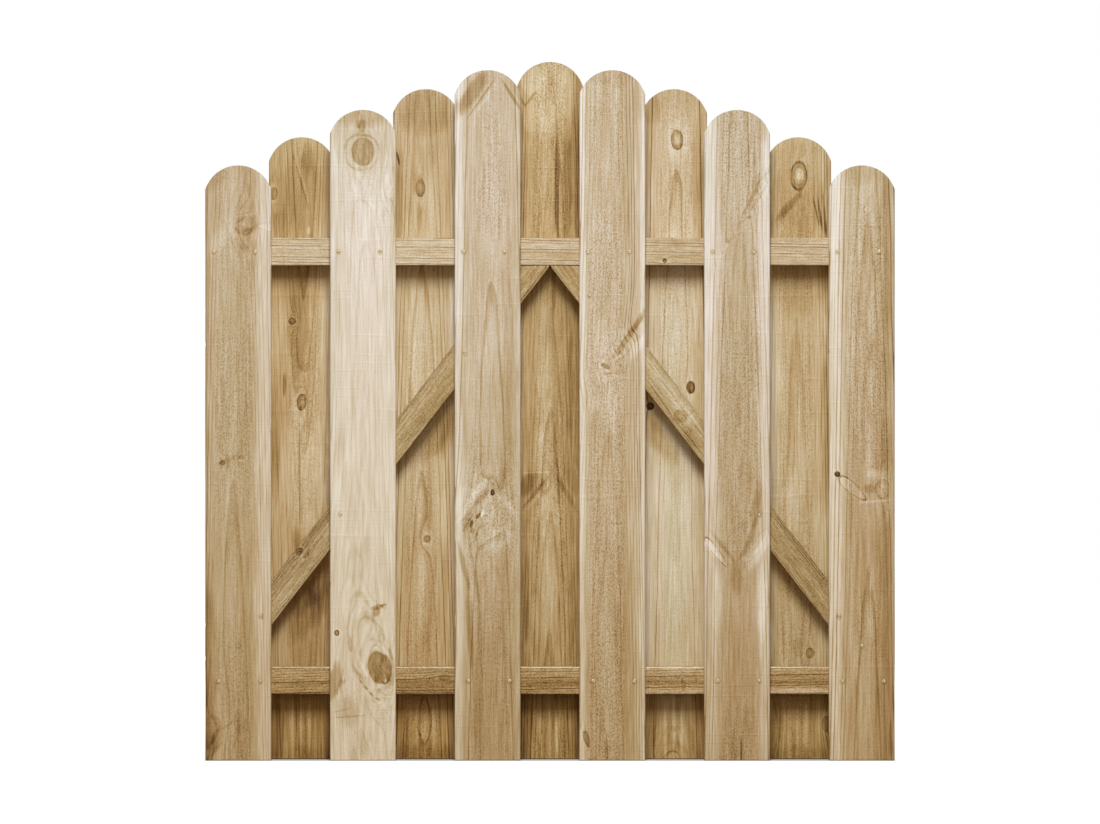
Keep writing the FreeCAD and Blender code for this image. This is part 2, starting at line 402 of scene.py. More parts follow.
# %% Group: shaded and damp foot
SHADE_TINT_LEVEL = 0.54
FOOT_WARMTH = 0.5
SLOW_TOP = 0.55
WET_AND_SHADED_TOP = 0.13
WET_AND_SHADED_FULL = 0.05
CLIMB_CELLS = (70.0, 70.0, 2.0)
CLIMB = 0.12
graph, given, result = new_group(
    "Shaded And Damp Foot",
    {"Vector": ORIGIN, "Tone": 0.0, "Warm": 0.0, "Shade Tint": 0.8, "Slow": 0.04, "Quick": 0.0, "Seed": 0.0},
    {"Tone": "Float", "Warm": "Float"},
)
shifted = graph.vector("ADD", given["Vector"], graph.join(given["Seed"], 0.0, 0.0))
w = graph.split(given["Vector"])["Z"]
level = graph.times_plus(graph.swing(shifted, CLIMB_CELLS, 3.0), CLIMB, w)
slow = graph.times(graph.smooth(w, SLOW_TOP, 0.0), given["Slow"])
wet_and_shaded = graph.smooth(level, WET_AND_SHADED_TOP, WET_AND_SHADED_FULL)
shade_and_damp = graph.times_plus(wet_and_shaded, given["Quick"], slow)
graph.fill(result["Tone"], graph.minus(given["Tone"], shade_and_damp))
warm = graph.times_plus(graph.minus(SHADE_TINT_LEVEL, w), given["Shade Tint"], given["Warm"])
wet_and_shaded_warm = graph.times(wet_and_shaded, graph.smooth(given["Quick"], 0.0, 0.05, 0.0, FOOT_WARMTH))
graph.fill(result["Warm"], graph.plus(warm, wet_and_shaded_warm))
print(graph.tree.name, "group:", len(graph.tree.nodes), "nodes")

# %% [markdown]
# ## Pine colour
# All effects add up to one tone, from dark to light. A ramp then gives the wood its hue: dark pine is a deep
# warm brown and pale pine is a greyish cream, so a change of tone also changes the hue, as it does in real
# wood. Small shifts come on top: pinker and yellower years, and a warmer brown lower down that is partly damp
# wood and partly the painted tint of shade. The olive tint that pressure treatment leaves comes on top as
# well.

# %% Group: pine colour
PINE_TONES = (
    (0.12, (55, 32, 16)),
    (0.28, (99, 71, 42)),
    (0.43, (145, 116, 73)),
    (0.51, (164, 136, 93)),
    (0.59, (181, 155, 115)),
    (0.67, (193, 173, 141)),
    (0.75, (207, 192, 167)),
    (0.83, (221, 209, 192)),
    (0.93, (236, 228, 216)),
)
YEAR_RED, YEAR_BLUE = 0.1, 0.12
WARM_RED, WARM_GREEN, WARM_BLUE = 0.07, -0.045, -0.3


def linear(colour):
    """An everyday 0 to 255 colour as the linear values that shaders use."""
    values = []
    for part in colour:
        share = part / 255
        values.append(share / 12.92 if share <= 0.04045 else ((share + 0.055) / 1.055) ** 2.4)
    return (*values, 1.0)


graph, given, result = new_group(
    "Pine Colour", {"Tone": 0.65, "Hue": 0.0, "Warm": 0.0, "Olive": 0.0}, {"Color": "Color"},
)
ramp = graph.add("ShaderNodeValToRGB", {0: given["Tone"]}).node
stops = ramp.color_ramp.elements
stops[0].position, stops[1].position = PINE_TONES[0][0], PINE_TONES[-1][0]
for position, colour in PINE_TONES[1:-1]:
    stops.new(position)
for stop, (position, colour) in zip(stops, PINE_TONES):
    stop.position = position
    stop.color = linear(colour)
red = graph.times_plus(given["Warm"], WARM_RED, graph.times_plus(given["Hue"], YEAR_RED, 1.0))
green = graph.times_plus(given["Warm"], WARM_GREEN, graph.plus(given["Olive"], 1.0))
blue = graph.times_plus(given["Warm"], WARM_BLUE, graph.times_plus(given["Hue"], YEAR_BLUE, 1.0))
tint = graph.join(red, green, blue)
graph.fill(result["Color"], graph.vector("MULTIPLY", ramp.outputs["Color"], tint))
print("shader groups:", [tree.name for tree in bpy.data.node_groups])

# %% [markdown]
# ## Marks and growth of a stick
# Every stick came from a different tree, so each has a description of its own; some of its marks paint shade
# and light. The helpers below note each mark in millimetres and degrees, from the middle of the stick and up
# from its start; a lean to the right is positive. A spike is a branch sawn lengthwise, a swirl is grain round
# a hidden knot, an arch is one dark year that closes round a knot, a patch is a soft upright stain or painted
# shade, and a band runs along the whole stick.


# %% Marks on a stick
def oval(across, up, width, length, lean):
    """What every mark has: its place, its size and its lean."""
    return {"Across": across * MM, "Up": up * MM, "Width": width * MM, "Length": length * MM,
            "Lean": math.radians(lean)}


def knot(across, up, width, length, lean=0.0, core=0.14, outline=0.12, swell=6.0, taper=0.0, halo=0.03,
         rings=0.2, heart=0.3):
    """A knot as inputs of the knot group; a negative core is paler than the wood round it."""
    return {**oval(across, up, width, length, lean), "Core": core, "Heart": heart, "Outline": outline,
            "Rings": rings, "Halo": halo, "Swell": swell * MM, "Taper": taper}


def spike(across, up, width, length, lean, core, outline, swell=4.0, taper=-0.3):
    """A branch that was sawn lengthwise: a slanting leaf shape with a thin broken outline."""
    return knot(across, up, width, length, lean, core, outline, swell, taper, 0.0, 0.0)


def swirl(across, up, width, length, lean=0.0, swell=8.0):
    """Grain that flows round a knot hidden below the surface."""
    return spike(across, up, width, length, lean, 0.0, 0.0, swell, 0.0)


def arch(across, up, width, length, lean, dark, taper=0.0):
    """One dark year that closes round a knot; the grain is left as it is."""
    return spike(across, up, width, length, lean, 0.0, dark, 0.0, taper)


def stain_and_shade(across, up, width, length, lean=0.0, dark=0.1, soft=0.9):
    """A stain, streak, crack or fleck, or painted shade or light, as inputs of the group for stains and
    shade.
    """
    return {**oval(across, up, width, length, lean), "Dark": dark, "Soft": soft}


def patch(across, up, width, length, dark):
    """A soft upright patch of darker, or with a negative number paler, tone: a stain, or painted shade or
    light.
    """
    return stain_and_shade(across, up, width, length, 0.0, dark, 1.0)


def band(across, width, dark):
    """A soft band of tone along the whole stick."""
    return patch(across, 480, width, 9000, dark)


def split(across, low, high, half_width, depth):
    """An open split of the mesh, from low to high along the stick."""
    sizes = {"across": across, "low": low, "high": high, "lip": half_width, "depth": depth}
    return {name: size * MM for name, size in sizes.items()}


@dataclass
class Stick:
    """How the wood of one stick grew, and its painted shade; lengths in millimetres, tones from 0, black, to
    1, white.
    """

    tone: float
    pith: tuple = (0, 60)  # across, and behind the front face
    ring: float = 2.9  # width of a year
    taper: float = 0.012  # growth of the rings along the stick
    wander: float = 5.0  # slow waves of the grain
    contrast: float = 0.28  # darkness of the late wood
    fuzz: float = 0.15  # torn fibre
    bands: float = 0.34  # broad bands of tone
    line: float = 0.6  # share of a year before its late wood
    wobble: float = 1.0  # raggedness of the ring lines
    warm: float = 0.0
    olive: float = 0.0
    # The loss of warmth with height paints the warmer tint of shade lower down.
    shade_tint: float = 0.8  # loss of warmth with height
    rough: float = 0.0  # 0 for planed, 1 for rough-sawn
    pale: tuple = (0, 0)  # widths of pale sapwood at the two edges
    # The darkening below knee height is painted shade. The darkening at the foot is partly damp wood and
    # partly painted shade.
    shade_and_damp: tuple = (0.07, 0.0)  # darkening below knee height, and at the foot
    arris: float = 2.4  # radius of the long edges
    knots: tuple = ()
    # Stains of the wood, and marks that paint shade and light.
    stains_and_shade: tuple = ()
    splits: tuple = ()


print("a plain stick:", Stick(0.65))

# %% [markdown]
# ## One pine material for each stick
# A material is the shared groups in a row, with the stick's own values. The knots come first, because they
# bend the coordinate that the rings and the fibre are drawn from. Stains, painted shade and light, damp, pale
# sapwood edges, rings, fibre and fuzz then add up to one tone, which gives the colour and the roughness. The
# relief is only the fine part of it: the shape of the stick, its worn edges and dished knots are in the mesh.

# %% Pine material
PALE_GAIN = 0.13
PALE_WANDER = 12.0 * MM
PALE_EDGES = (1.25, 0.6)
LATE_SHARE = 0.29
FIBRE_TONE = 0.36
MOTTLE_TONE = 0.09
MARK_TONE = 0.032
LATE_RELIEF, FUZZ_RELIEF, FIBRE_RELIEF, MARK_RELIEF = -0.5, 0.5, 0.6, 0.3
RELIEF_DEPTH = 0.5 * MM


def pine_material(name, stick, seed, axes, half_width, extra_marks):
    """One stick's finish: knots, stains and painted shade, then rings, fibre and pale edges, then colour and
    relief.
    """
    material, graph, shader = new_material("pine " + name)
    position = graph.add("ShaderNodeTexCoord", {}, "Object")
    plain = graph.place("Timber Coordinates", {"Position": position, **axes})["Vector"]
    bent, tone, near = plain, stick.tone, 0.0
    for mark in stick.knots:
        outputs = graph.place("Knot", {**mark, "Vector": bent, "Tone": tone, "Near": near})
        bent, tone, near = outputs["Vector"], outputs["Tone"], outputs["Near"]
    # Stains of the wood, painted shade and light, and the extra marks round the nails or at the foot.
    for mark in (*stick.stains_and_shade, *extra_marks):
        tone = graph.place("Stain And Shade", {**mark, "Vector": plain, "Tone": tone})["Tone"]
    # Painted shade lower down, with its warmer tint, and partly damp wood at the foot.
    slow, quick = stick.shade_and_damp
    shade_and_damp = graph.place("Shaded And Damp Foot", {
        "Vector": plain, "Tone": tone, "Warm": stick.warm, "Shade Tint": stick.shade_tint, "Slow": slow,
        "Quick": quick, "Seed": seed,
    })
    rings = graph.place("Growth Rings", {
        "Vector": bent, "Near Knots": near, "Seed": seed, "Taper": stick.taper,
        "Pith Across": stick.pith[0] * MM, "Pith Depth": stick.pith[1] * MM, "Ring Width": stick.ring * MM,
        "Late Start": stick.line, "Wander": stick.wander * MM, "Wobble": stick.wobble,
    })
    planed = graph.place("Planed Surface", {
        "Vector": plain, "Grain": bent, "Rough": stick.rough, "Seed": seed + 3.7,
    })
    tone = shade_and_damp["Tone"]
    u = graph.times_plus(planed["Mottle"], PALE_WANDER, graph.split(plain)["X"])
    for side, width in zip((-1.0, 1.0), stick.pale):
        if width:
            inside = graph.minus(half_width, graph.times(u, side))
            strip = graph.smooth(inside, *(width * MM * edge for edge in PALE_EDGES))
            tone = graph.times_plus(strip, PALE_GAIN, tone)
    ring_tone = graph.minus(LATE_SHARE * (0.98 - stick.line), rings["Late Wood"])
    torn = graph.larger(rings["Torn Zones"], stick.rough)
    fuzz = graph.times(planed["Fuzz"], graph.times_plus(torn, 0.9, 0.1))
    for amount, part in (
        (stick.contrast, ring_tone), (stick.bands, rings["Bands"]), (FIBRE_TONE, planed["Fibre"]),
        (stick.fuzz, fuzz), (MOTTLE_TONE, planed["Mottle"]), (MARK_TONE, planed["Marks"]),
    ):
        tone = graph.times_plus(part, amount, tone)
    colour = graph.place("Pine Colour", {
        "Tone": tone, "Hue": rings["Hue"], "Warm": shade_and_damp["Warm"], "Olive": stick.olive,
    })
    graph.fill(shader.inputs["Base Color"], colour["Color"])
    graph.fill(shader.inputs["Roughness"], graph.smooth(tone, 0.3, 0.9, 0.7, 0.88))
    height = graph.times(rings["Late Wood"], LATE_RELIEF)
    for amount, part in (
        (FUZZ_RELIEF, fuzz), (FIBRE_RELIEF, planed["Fibre"]), (MARK_RELIEF, planed["Marks"]),
    ):
        height = graph.times_plus(part, amount, height)
    bump = {"Strength": 0.8, "Distance": RELIEF_DEPTH, "Height": height}
    graph.fill(shader.inputs["Normal"], graph.add("ShaderNodeBump", bump))
    shader.inputs["Specular IOR Level"].default_value = 0.15
    return material


print("pine material ready")

# %% [markdown]
# ## The mesh of a stick
# A planed stick is a bar with rounded long edges and sawn ends. It could be a cube with a bevel, but a
# lattice gives more: columns across the face, rows along the grain and steps through the depth, so that edges
# can be worn, knots dished and splits opened by moving points. The ends are given as two functions, which
# makes the round top of a board and the slanting cut of a brace the same kind of thing.

# %% Columns across a stick
FACE_INSET = 0.3 * MM
COLUMN_STEP = 3.2 * MM
ARRIS_ANGLES = (0.0, 30.0, 60.0)


def section_columns(half_u, arris, splits):
    """Places of the columns across the face, and how far the arris drops each of them back."""
    angles = np.radians(ARRIS_ANGLES)
    edge = half_u - arris * (1.0 - np.cos(angles))
    drop = arris * (1.0 - np.sin(angles))
    flat = half_u - arris
    inner = np.linspace(-flat, flat, round(2 * flat / COLUMN_STEP))
    for gap in splits:
        middle, lip = gap["across"], gap["lip"]
        clear = inner[np.abs(inner - middle) > 1.5 * lip]
        inner = np.sort(np.append(clear, (middle - lip, middle, middle + lip)))
    columns = np.concatenate((-edge, inner, edge[::-1]))
    drops = np.concatenate((drop, np.zeros_like(inner), drop[::-1]))
    return columns, drops


print("columns every", COLUMN_STEP / MM, "mm across a stick")

# %% Worn edges, dished knots and splits
WEAR_DEPTH = 0.7 * MM
WEAR_WAVE = 0.31
NICK_DEPTH = 6.0 * MM
NICK_WAVE = 0.045
NICK_START = 0.62
NICK_ZONE_WAVE = 0.4
EDGE_SHARPNESS = 10
KNOT_DISH = 0.35 * MM
SPLIT_CLOSING = 0.6


def waves(rng, along, longest, count):
    """A slow seeded wave along a stick, from about -1 to 1."""
    total = np.zeros_like(along)
    for order in range(count):
        length = longest / 1.9 ** order
        total += np.sin(along * math.tau / length + rng.uniform(0, math.tau)) / (1.0 + order)
    return total / 2.0


def edge_wear(rng, u, w, half_u):
    """How far each point is worn in across the stick: a slow loss along the edges, and a few nicks."""
    wear = np.zeros_like(u)
    for side in (-1.0, 1.0):
        slow = np.clip(0.25 + 0.25 * waves(rng, w, WEAR_WAVE, 3), 0.0, 1.0)
        nick = np.clip(waves(rng, w, NICK_WAVE, 3) - NICK_START, 0.0, 1.0)
        nick = nick * np.clip(waves(rng, w, NICK_ZONE_WAVE, 2), 0.0, 1.0)
        wear = np.where(u * side > 0.0, slow * WEAR_DEPTH + nick * NICK_DEPTH, wear)
    return np.sign(u) * np.abs(u / half_u) ** EDGE_SHARPNESS * wear


def hollows(stick, u, w, in_front):
    """How deep the knots are dished and the splits are open at each point."""
    hollow = np.zeros_like(u)
    for mark in stick.knots:
        sine, cosine = math.sin(mark["Lean"]), math.cos(mark["Lean"])
        du = u - mark["Across"]
        dw = w - mark["Up"]
        near_u = (du * cosine - dw * sine) / (mark["Width"] / 2)
        near_w = (du * sine + dw * cosine) / (mark["Length"] / 2)
        hollow += KNOT_DISH * np.exp(-((near_u ** 2 + near_w ** 2) ** 2))
    for gap in stick.splits:
        middle = np.isclose(u, gap["across"]) & in_front & (w >= gap["low"])
        closing = (gap["high"] - w) / (SPLIT_CLOSING * (gap["high"] - gap["low"]))
        hollow += np.where(middle, gap["depth"] * np.clip(closing, 0.0, 1.0), 0.0)
    return hollow


print("edges lose up to", WEAR_DEPTH / MM, "mm, knots are dished", KNOT_DISH / MM, "mm")

# %% Stick mesh
END_EASE = 0.9 * MM
ROW_STEP = 5.0 * MM
DEPTH_STEPS = 4
SHARP_ANGLE = 38


def add_piece(name, points, faces, sharp_angle):
    """A smooth-shaded mesh object with sharp edges past an angle in degrees."""
    mesh = bpy.data.meshes.new(name)
    mesh.from_pydata(points, [], faces)
    mesh.polygons.foreach_set("use_smooth", [True] * len(mesh.polygons))
    mesh.set_sharp_from_angle(angle=math.radians(sharp_angle))
    mesh.validate()
    piece = bpy.data.objects.new(name, mesh)
    bpy.context.scene.collection.objects.link(piece)
    return piece


def sheet(ids, flip):
    """Quads over a grid of point numbers."""
    quads = np.stack((ids[:-1, :-1], ids[1:, :-1], ids[1:, 1:], ids[:-1, 1:]), axis=-1).reshape(-1, 4)
    return quads[:, ::-1] if flip else quads


def stick_mesh(name, stick, rng, width, depth, low_end, high_end, place):
    """A worn stick. low_end and high_end give where each column starts and stops along the grain."""
    half_u = width / 2 - FACE_INSET
    half_v = depth / 2 - FACE_INSET
    columns, drops = section_columns(half_u, stick.arris * MM, stick.splits)
    starts = low_end(columns) + FACE_INSET
    stops = high_end(columns) - FACE_INSET
    row_count = round(float(np.max(stops - starts)) / ROW_STEP)
    share = np.linspace(0.0, 1.0, row_count)
    inner_rows = starts[:, None] + END_EASE + share[None, :] * (stops - starts - 2 * END_EASE)[:, None]
    rows = np.concatenate((starts[:, None], inner_rows, stops[:, None]), axis=1)
    counts = (len(columns), DEPTH_STEPS + 1, row_count + 2)
    i, k, j = np.meshgrid(*(range(count) for count in counts), indexing="ij")
    last_i, last_k, last_j = (count - 1 for count in counts)

    u_face = columns[i]
    through = 2.0 * k / DEPTH_STEPS - 1.0
    w = rows[i, j]
    at_end = (j == 0) | (j == last_j)
    u = np.where(at_end, u_face * (1.0 - 0.6 * END_EASE / half_u), u_face)
    v = through * (half_v - drops[i])
    v = np.where(at_end, v * (1.0 - END_EASE / half_v), v)
    u = u - edge_wear(rng, u_face, w, half_u)
    hollow = hollows(stick, u_face, w, through < 0.0)
    v = v * (1.0 - np.clip(hollow, 0.0, half_v) / half_v)

    points = np.stack((u, v, w), axis=-1) @ np.array(place[1:]) + np.array(place[0])
    skin = (i == 0) | (i == last_i) | (k == 0) | (k == last_k) | at_end
    number = np.full(counts, -1)
    number[skin] = np.arange(skin.sum())
    faces = np.concatenate((
        sheet(number[:, 0, :], False), sheet(number[:, -1, :], True),
        sheet(number[0], True), sheet(number[-1], False),
        sheet(number[:, :, 0], True), sheet(number[:, :, -1], False),
    ))
    return add_piece(name, points[skin].tolist(), faces.tolist(), SHARP_ANGLE)


def dress(piece, node, material):
    """Give a piece its finish, let it stand for its node and ride on the leaf's only body."""
    piece.data.materials.append(material)
    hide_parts(node)
    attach(piece, "root")


print("stick mesh ready, a row every", ROW_STEP / MM, "mm")

# %% [markdown]
# ## The boards
# Eleven boards of one width and thickness, each from another tree. The lists give what the eye notices on
# each of them: how pale it is, where the pith lay, its knots, streaks, cracks and splits. Some of their marks
# are painted shade and light. On the back boards they paint shade under the upper rail and the braces and
# beside the front boards, and light on edges that lie in a front board's shade. On the first front board they
# paint shade on its left edge. The back boards share the streaks and darker sides of their foot.

# %% Front boards
FRONT_BOARDS = {
    "front_board_1": Stick(
        0.66, pith=(-6, 58), ring=2.3, contrast=0.2, pale=(0, 22), shade_and_damp=(0.085, 0.0),
        knots=(
            knot(11, 764, 32, 27, 0, 0.05, 0.02, 9, rings=0.0, heart=0.6),
            spike(36, 762, 10, 30, 97, -0.04, 0.1, 0),
            knot(-23, 425, 9, 7, core=0.12, outline=0.08, swell=5),
            knot(4, 433, 8, 6, core=0.07, outline=0.06, swell=5),
            knot(-38, 40, 28, 46, 10, 0.03, 0.02, 8, rings=0.3),
        ),
        stains_and_shade=(
            # band(-46, 10, 0.06) is painted shade along the left edge.
            band(8, 30, 0.04), band(-46, 10, 0.06), stain_and_shade(13, 758, 6, 16, 70, 0.12),
            stain_and_shade(3, 771, 4, 18, 55, 0.1), stain_and_shade(20, 768, 4, 11, 20, 0.1), stain_and_shade(8, 766, 8, 6, 0, -0.08),
            stain_and_shade(18, 757, 5, 20, 35, 0.1), stain_and_shade(22, 776, 9, 12, 20, 0.08),
            stain_and_shade(-2, 757, 8, 14, -30, 0.09), patch(10, 742, 40, 36, 0.04),
            stain_and_shade(-28, 742, 28, 60, 35, -0.05, 1.0), stain_and_shade(8, 781, 3, 30, 80, 0.08),
            stain_and_shade(-30, 838, 40, 60, 30, 0.07, 1.0), stain_and_shade(-10, 431, 9, 40, 75, 0.07, 1.0),
            patch(-20, 424, 20, 16, 0.06), patch(31, 393, 14, 90, 0.05), patch(-44, 80, 30, 500, 0.1),
            stain_and_shade(2, 55, 46, 24, 80, 0.06, 1.0), stain_and_shade(-40, 20, 26, 60, 20, 0.06),
            stain_and_shade(-34, 34, 7, 44, 28, 0.1), stain_and_shade(-30, 18, 6, 30, 40, 0.09),
            stain_and_shade(-16, 50, 5, 34, 55, 0.07),
        ),
    ),
    "front_board_2": Stick(
        0.812, pith=(2, 66), ring=2.4, contrast=0.15, line=0.76, wobble=0.4, fuzz=0.06, bands=0.1,
        shade_and_damp=(0.0, 0.0),
        knots=(
            arch(20, 137, 46, 74, -14, 0.1),
            arch(11, 152, 54, 108, -12, 0.09),
            arch(1, 176, 44, 130, -8, 0.08, 0.3),
            knot(0, 870, 31, 41, core=0.16, outline=0.08, swell=12, halo=0.0, rings=0.0, heart=0.2),
            knot(-2, 869, 38, 51, 0, 0.0, 0.1, 0, 0.0, 0.0, 0.0),
            knot(24, 132, 34, 47, -15, 0.27, 0.06, 14, rings=0.0, heart=0.1),
            swirl(4, 170, 60, 190, -5, 9),
            knot(-25, 184, 8, 8, core=0.45, outline=0.3, swell=2, heart=0.5),
            swirl(34, 824, 24, 34, 10, 7),
        ),
        stains_and_shade=(
            stain_and_shade(-1, 906, 14, 22, 0, 0.16, 0.8), patch(0, 934, 110, 70, 0.12),
            patch(0, 905, 130, 170, 0.08), patch(44, 790, 12, 170, 0.08), stain_and_shade(29, 222, 4, 13, 70, 0.2),
            stain_and_shade(19, 219, 9, 20, 74, 0.18, 0.6), stain_and_shade(19, 213, 11, 18, 8, 0.18, 0.6),
            stain_and_shade(-42, 110, 24, 66, 14, 0.19, 0.7), stain_and_shade(-33, 112, 3, 44, 16, 0.1, 0.8),
            stain_and_shade(-3, 113, 3.5, 11, -30, 0.2), stain_and_shade(4, 104, 4, 11, -44, 0.24),
            stain_and_shade(12, 95, 4.5, 12, -40, 0.26), stain_and_shade(21, 88, 4, 12, -66, 0.22),
            stain_and_shade(-20, 63, 3, 62, 86, 0.12, 0.8), stain_and_shade(-30, 72, 3, 40, 78, 0.08),
            stain_and_shade(1, 24, 12, 50, 0, 0.09), stain_and_shade(-22, 72, 60, 44, 62, 0.08, 1.0),
        ),
    ),
    "front_board_3": Stick(
        0.71, pith=(5, 62), warm=-0.1, fuzz=0.18, pale=(12, 0), shade_and_damp=(0.1, 0.0),
        knots=(
            knot(7, 383, 6, 9, core=0.5, outline=0.2, swell=4),
            swirl(0, 352, 50, 44, 0, 7),
            spike(-22, 336, 10, 22, 35, 0.06, 0.1, 2),
        ),
        stains_and_shade=(
            patch(30, 350, 34, 900, 0.06), patch(14, 490, 70, 220, 0.06), patch(-38, 510, 22, 300, 0.07),
            patch(6, 850, 30, 280, -0.05), stain_and_shade(-22, 953, 26, 84, 35, 0.17, 0.8),
            stain_and_shade(-42, 930, 16, 70, 20, 0.08, 1.0), stain_and_shade(-8, 947, 4, 74, 35, 0.12, 0.8),
            stain_and_shade(-3, 944, 5, 64, 35, -0.05), stain_and_shade(34, 950, 7, 58, -32, 0.18, 0.9),
            stain_and_shade(41, 957, 16, 56, -32, 0.08, 1.0), stain_and_shade(-7, 353, 5, 12, 25, -0.3, 0.5),
            stain_and_shade(-14, 349, 6, 12, 40, 0.3, 0.6), stain_and_shade(-23, 338, 6, 13, 20, 0.28, 0.6),
            stain_and_shade(-9, 375, 9, 42, 42, 0.12, 1.0), stain_and_shade(-27, 366, 12, 80, 32, -0.08, 1.0),
            stain_and_shade(-38, 372, 16, 52, 18, -0.07, 1.0), stain_and_shade(-12, 388, 12, 40, 40, -0.08, 1.0),
            stain_and_shade(24, 372, 12, 50, -35, -0.07, 1.0), stain_and_shade(36, 356, 10, 40, -30, -0.07, 1.0),
            stain_and_shade(14, 388, 10, 36, -40, 0.08, 1.0), stain_and_shade(-28, 352, 8, 40, 40, 0.08, 1.0),
            stain_and_shade(-26, 344, 4, 40, 30, 0.12), stain_and_shade(-16, 322, 4, 36, 20, 0.1),
            patch(12, 316, 54, 44, -0.07), patch(28, 322, 30, 40, -0.04),
            stain_and_shade(-22, 328, 12, 8, 60, 0.18, 0.8), stain_and_shade(-34, 278, 9, 80, -14, 0.14),
            stain_and_shade(-25, 190, 10, 160, -3, 0.14), stain_and_shade(-17, 260, 6, 90, -8, 0.1),
            stain_and_shade(-11, 180, 7, 150, -2, 0.1), patch(-14, 70, 20, 200, 0.07),
        ),
    ),
    "front_board_4": Stick(
        0.7, pith=(-8, 52), ring=2.6, contrast=0.34, fuzz=0.19, line=0.64, pale=(9, 8), shade_and_damp=(0.06, 0.0),
        knots=(
            swirl(20, 604, 30, 90, 35, 6),
            knot(-9, 563, 8, 6, core=0.2, outline=0.1, swell=4, halo=0.0, heart=0.0),
            spike(-37, 31, 8, 24, -15, 0.2, 0.2),
        ),
        stains_and_shade=(
            band(20, 34, 0.055), patch(0, 985, 90, 60, 0.06), patch(38, 945, 24, 80, 0.08),
            patch(0, 850, 110, 330, 0.02), patch(-16, 590, 26, 110, -0.07), patch(2, 510, 44, 130, -0.07),
            patch(10, 600, 64, 48, -0.05), stain_and_shade(38, 628, 12, 54, 35, 0.12, 1.0),
            stain_and_shade(24, 606, 10, 90, 35, 0.16, 1.0), stain_and_shade(18, 604, 4, 80, 35, 0.1, 1.0),
            stain_and_shade(34, 588, 16, 64, 35, -0.08, 1.0), stain_and_shade(0, 553, 4, 40, 84, 0.08),
            patch(-22, 60, 30, 300, 0.04),
        ),
    ),
    "front_board_5": Stick(
        0.7, pith=(3, 60), contrast=0.3, warm=-0.1, fuzz=0.17, pale=(21, 18), shade_and_damp=(0.14, 0.0),
        knots=(
            spike(28, 808, 12, 70, 30, 0.04, 0.17),
            spike(-30, 298, 9, 54, -38, -0.05, 0.3, 0),
            spike(27, 305, 12, 60, 33, -0.04, 0.06, 1),
        ),
        stains_and_shade=(
            patch(2, 380, 60, 900, 0.07), patch(-25, 700, 10, 300, -0.05), patch(8, 590, 24, 260, 0.03),
            patch(36, 905, 24, 60, 0.08), stain_and_shade(32, 830, 16, 44, 20, 0.07, 1.0),
            stain_and_shade(25, 357, 16, 60, 10, 0.09, 1.0), patch(34, 225, 20, 150, -0.1),
            patch(8, 240, 90, 220, -0.03), stain_and_shade(20, 800, 6, 60, 30, 0.06, 1.0),
            patch(31, 376, 9, 90, 0.13), stain_and_shade(23, 332, 9, 64, 20, 0.11, 1.0),
            stain_and_shade(-38, 305, 12, 70, -38, -0.1, 1.0), stain_and_shade(-19, 304, 8, 66, -38, 0.11, 1.0),
            stain_and_shade(30, 296, 18, 74, 33, -0.1, 1.0), stain_and_shade(12, 302, 8, 62, 33, 0.1, 1.0),
            patch(-2, 262, 24, 60, 0.08), patch(-27, 235, 18, 130, -0.08),
        ),
        splits=(split(6, 0, 36, 1.3, 5),),
    ),
    "front_board_6": Stick(
        0.665, pith=(8, 58), contrast=0.3, fuzz=0.17, bands=0.44, pale=(22, 0), warm=0.05,
        knots=(
            knot(-35, 409, 8, 8, core=0.55, outline=0.2, swell=1, heart=0.0),
            spike(-14, 389, 14, 50, -50, -0.05, 0.24, 0),
            knot(30, 388, 20, 27, core=0.0, outline=0.14, swell=3, rings=0.0),
        ),
        stains_and_shade=(
            band(30, 50, 0.08), patch(0, 838, 44, 50, 0.08), band(-7, 8, 0.06), band(13, 14, -0.03),
            band(34, 10, 0.06), stain_and_shade(12, 388, 18, 18, 0, 0.12), patch(15, 410, 22, 20, -0.11),
            stain_and_shade(14, 370, 5, 52, 86, -0.08), stain_and_shade(3, 787, 3, 18, 0, 0.12),
            stain_and_shade(8, 787, 10, 12, 0, -0.08), patch(4, 620, 22, 480, 0.06), patch(1, 300, 12, 420, 0.06),
            band(-37, 18, -0.08), patch(0, 200, 90, 260, -0.03), patch(31, 378, 30, 110, -0.09),
            patch(14, 222, 16, 130, -0.08), band(46, 8, -0.05), stain_and_shade(42, 30, 8, 80, 0, 0.1),
        ),
    ),
}
print("front boards:", list(FRONT_BOARDS))

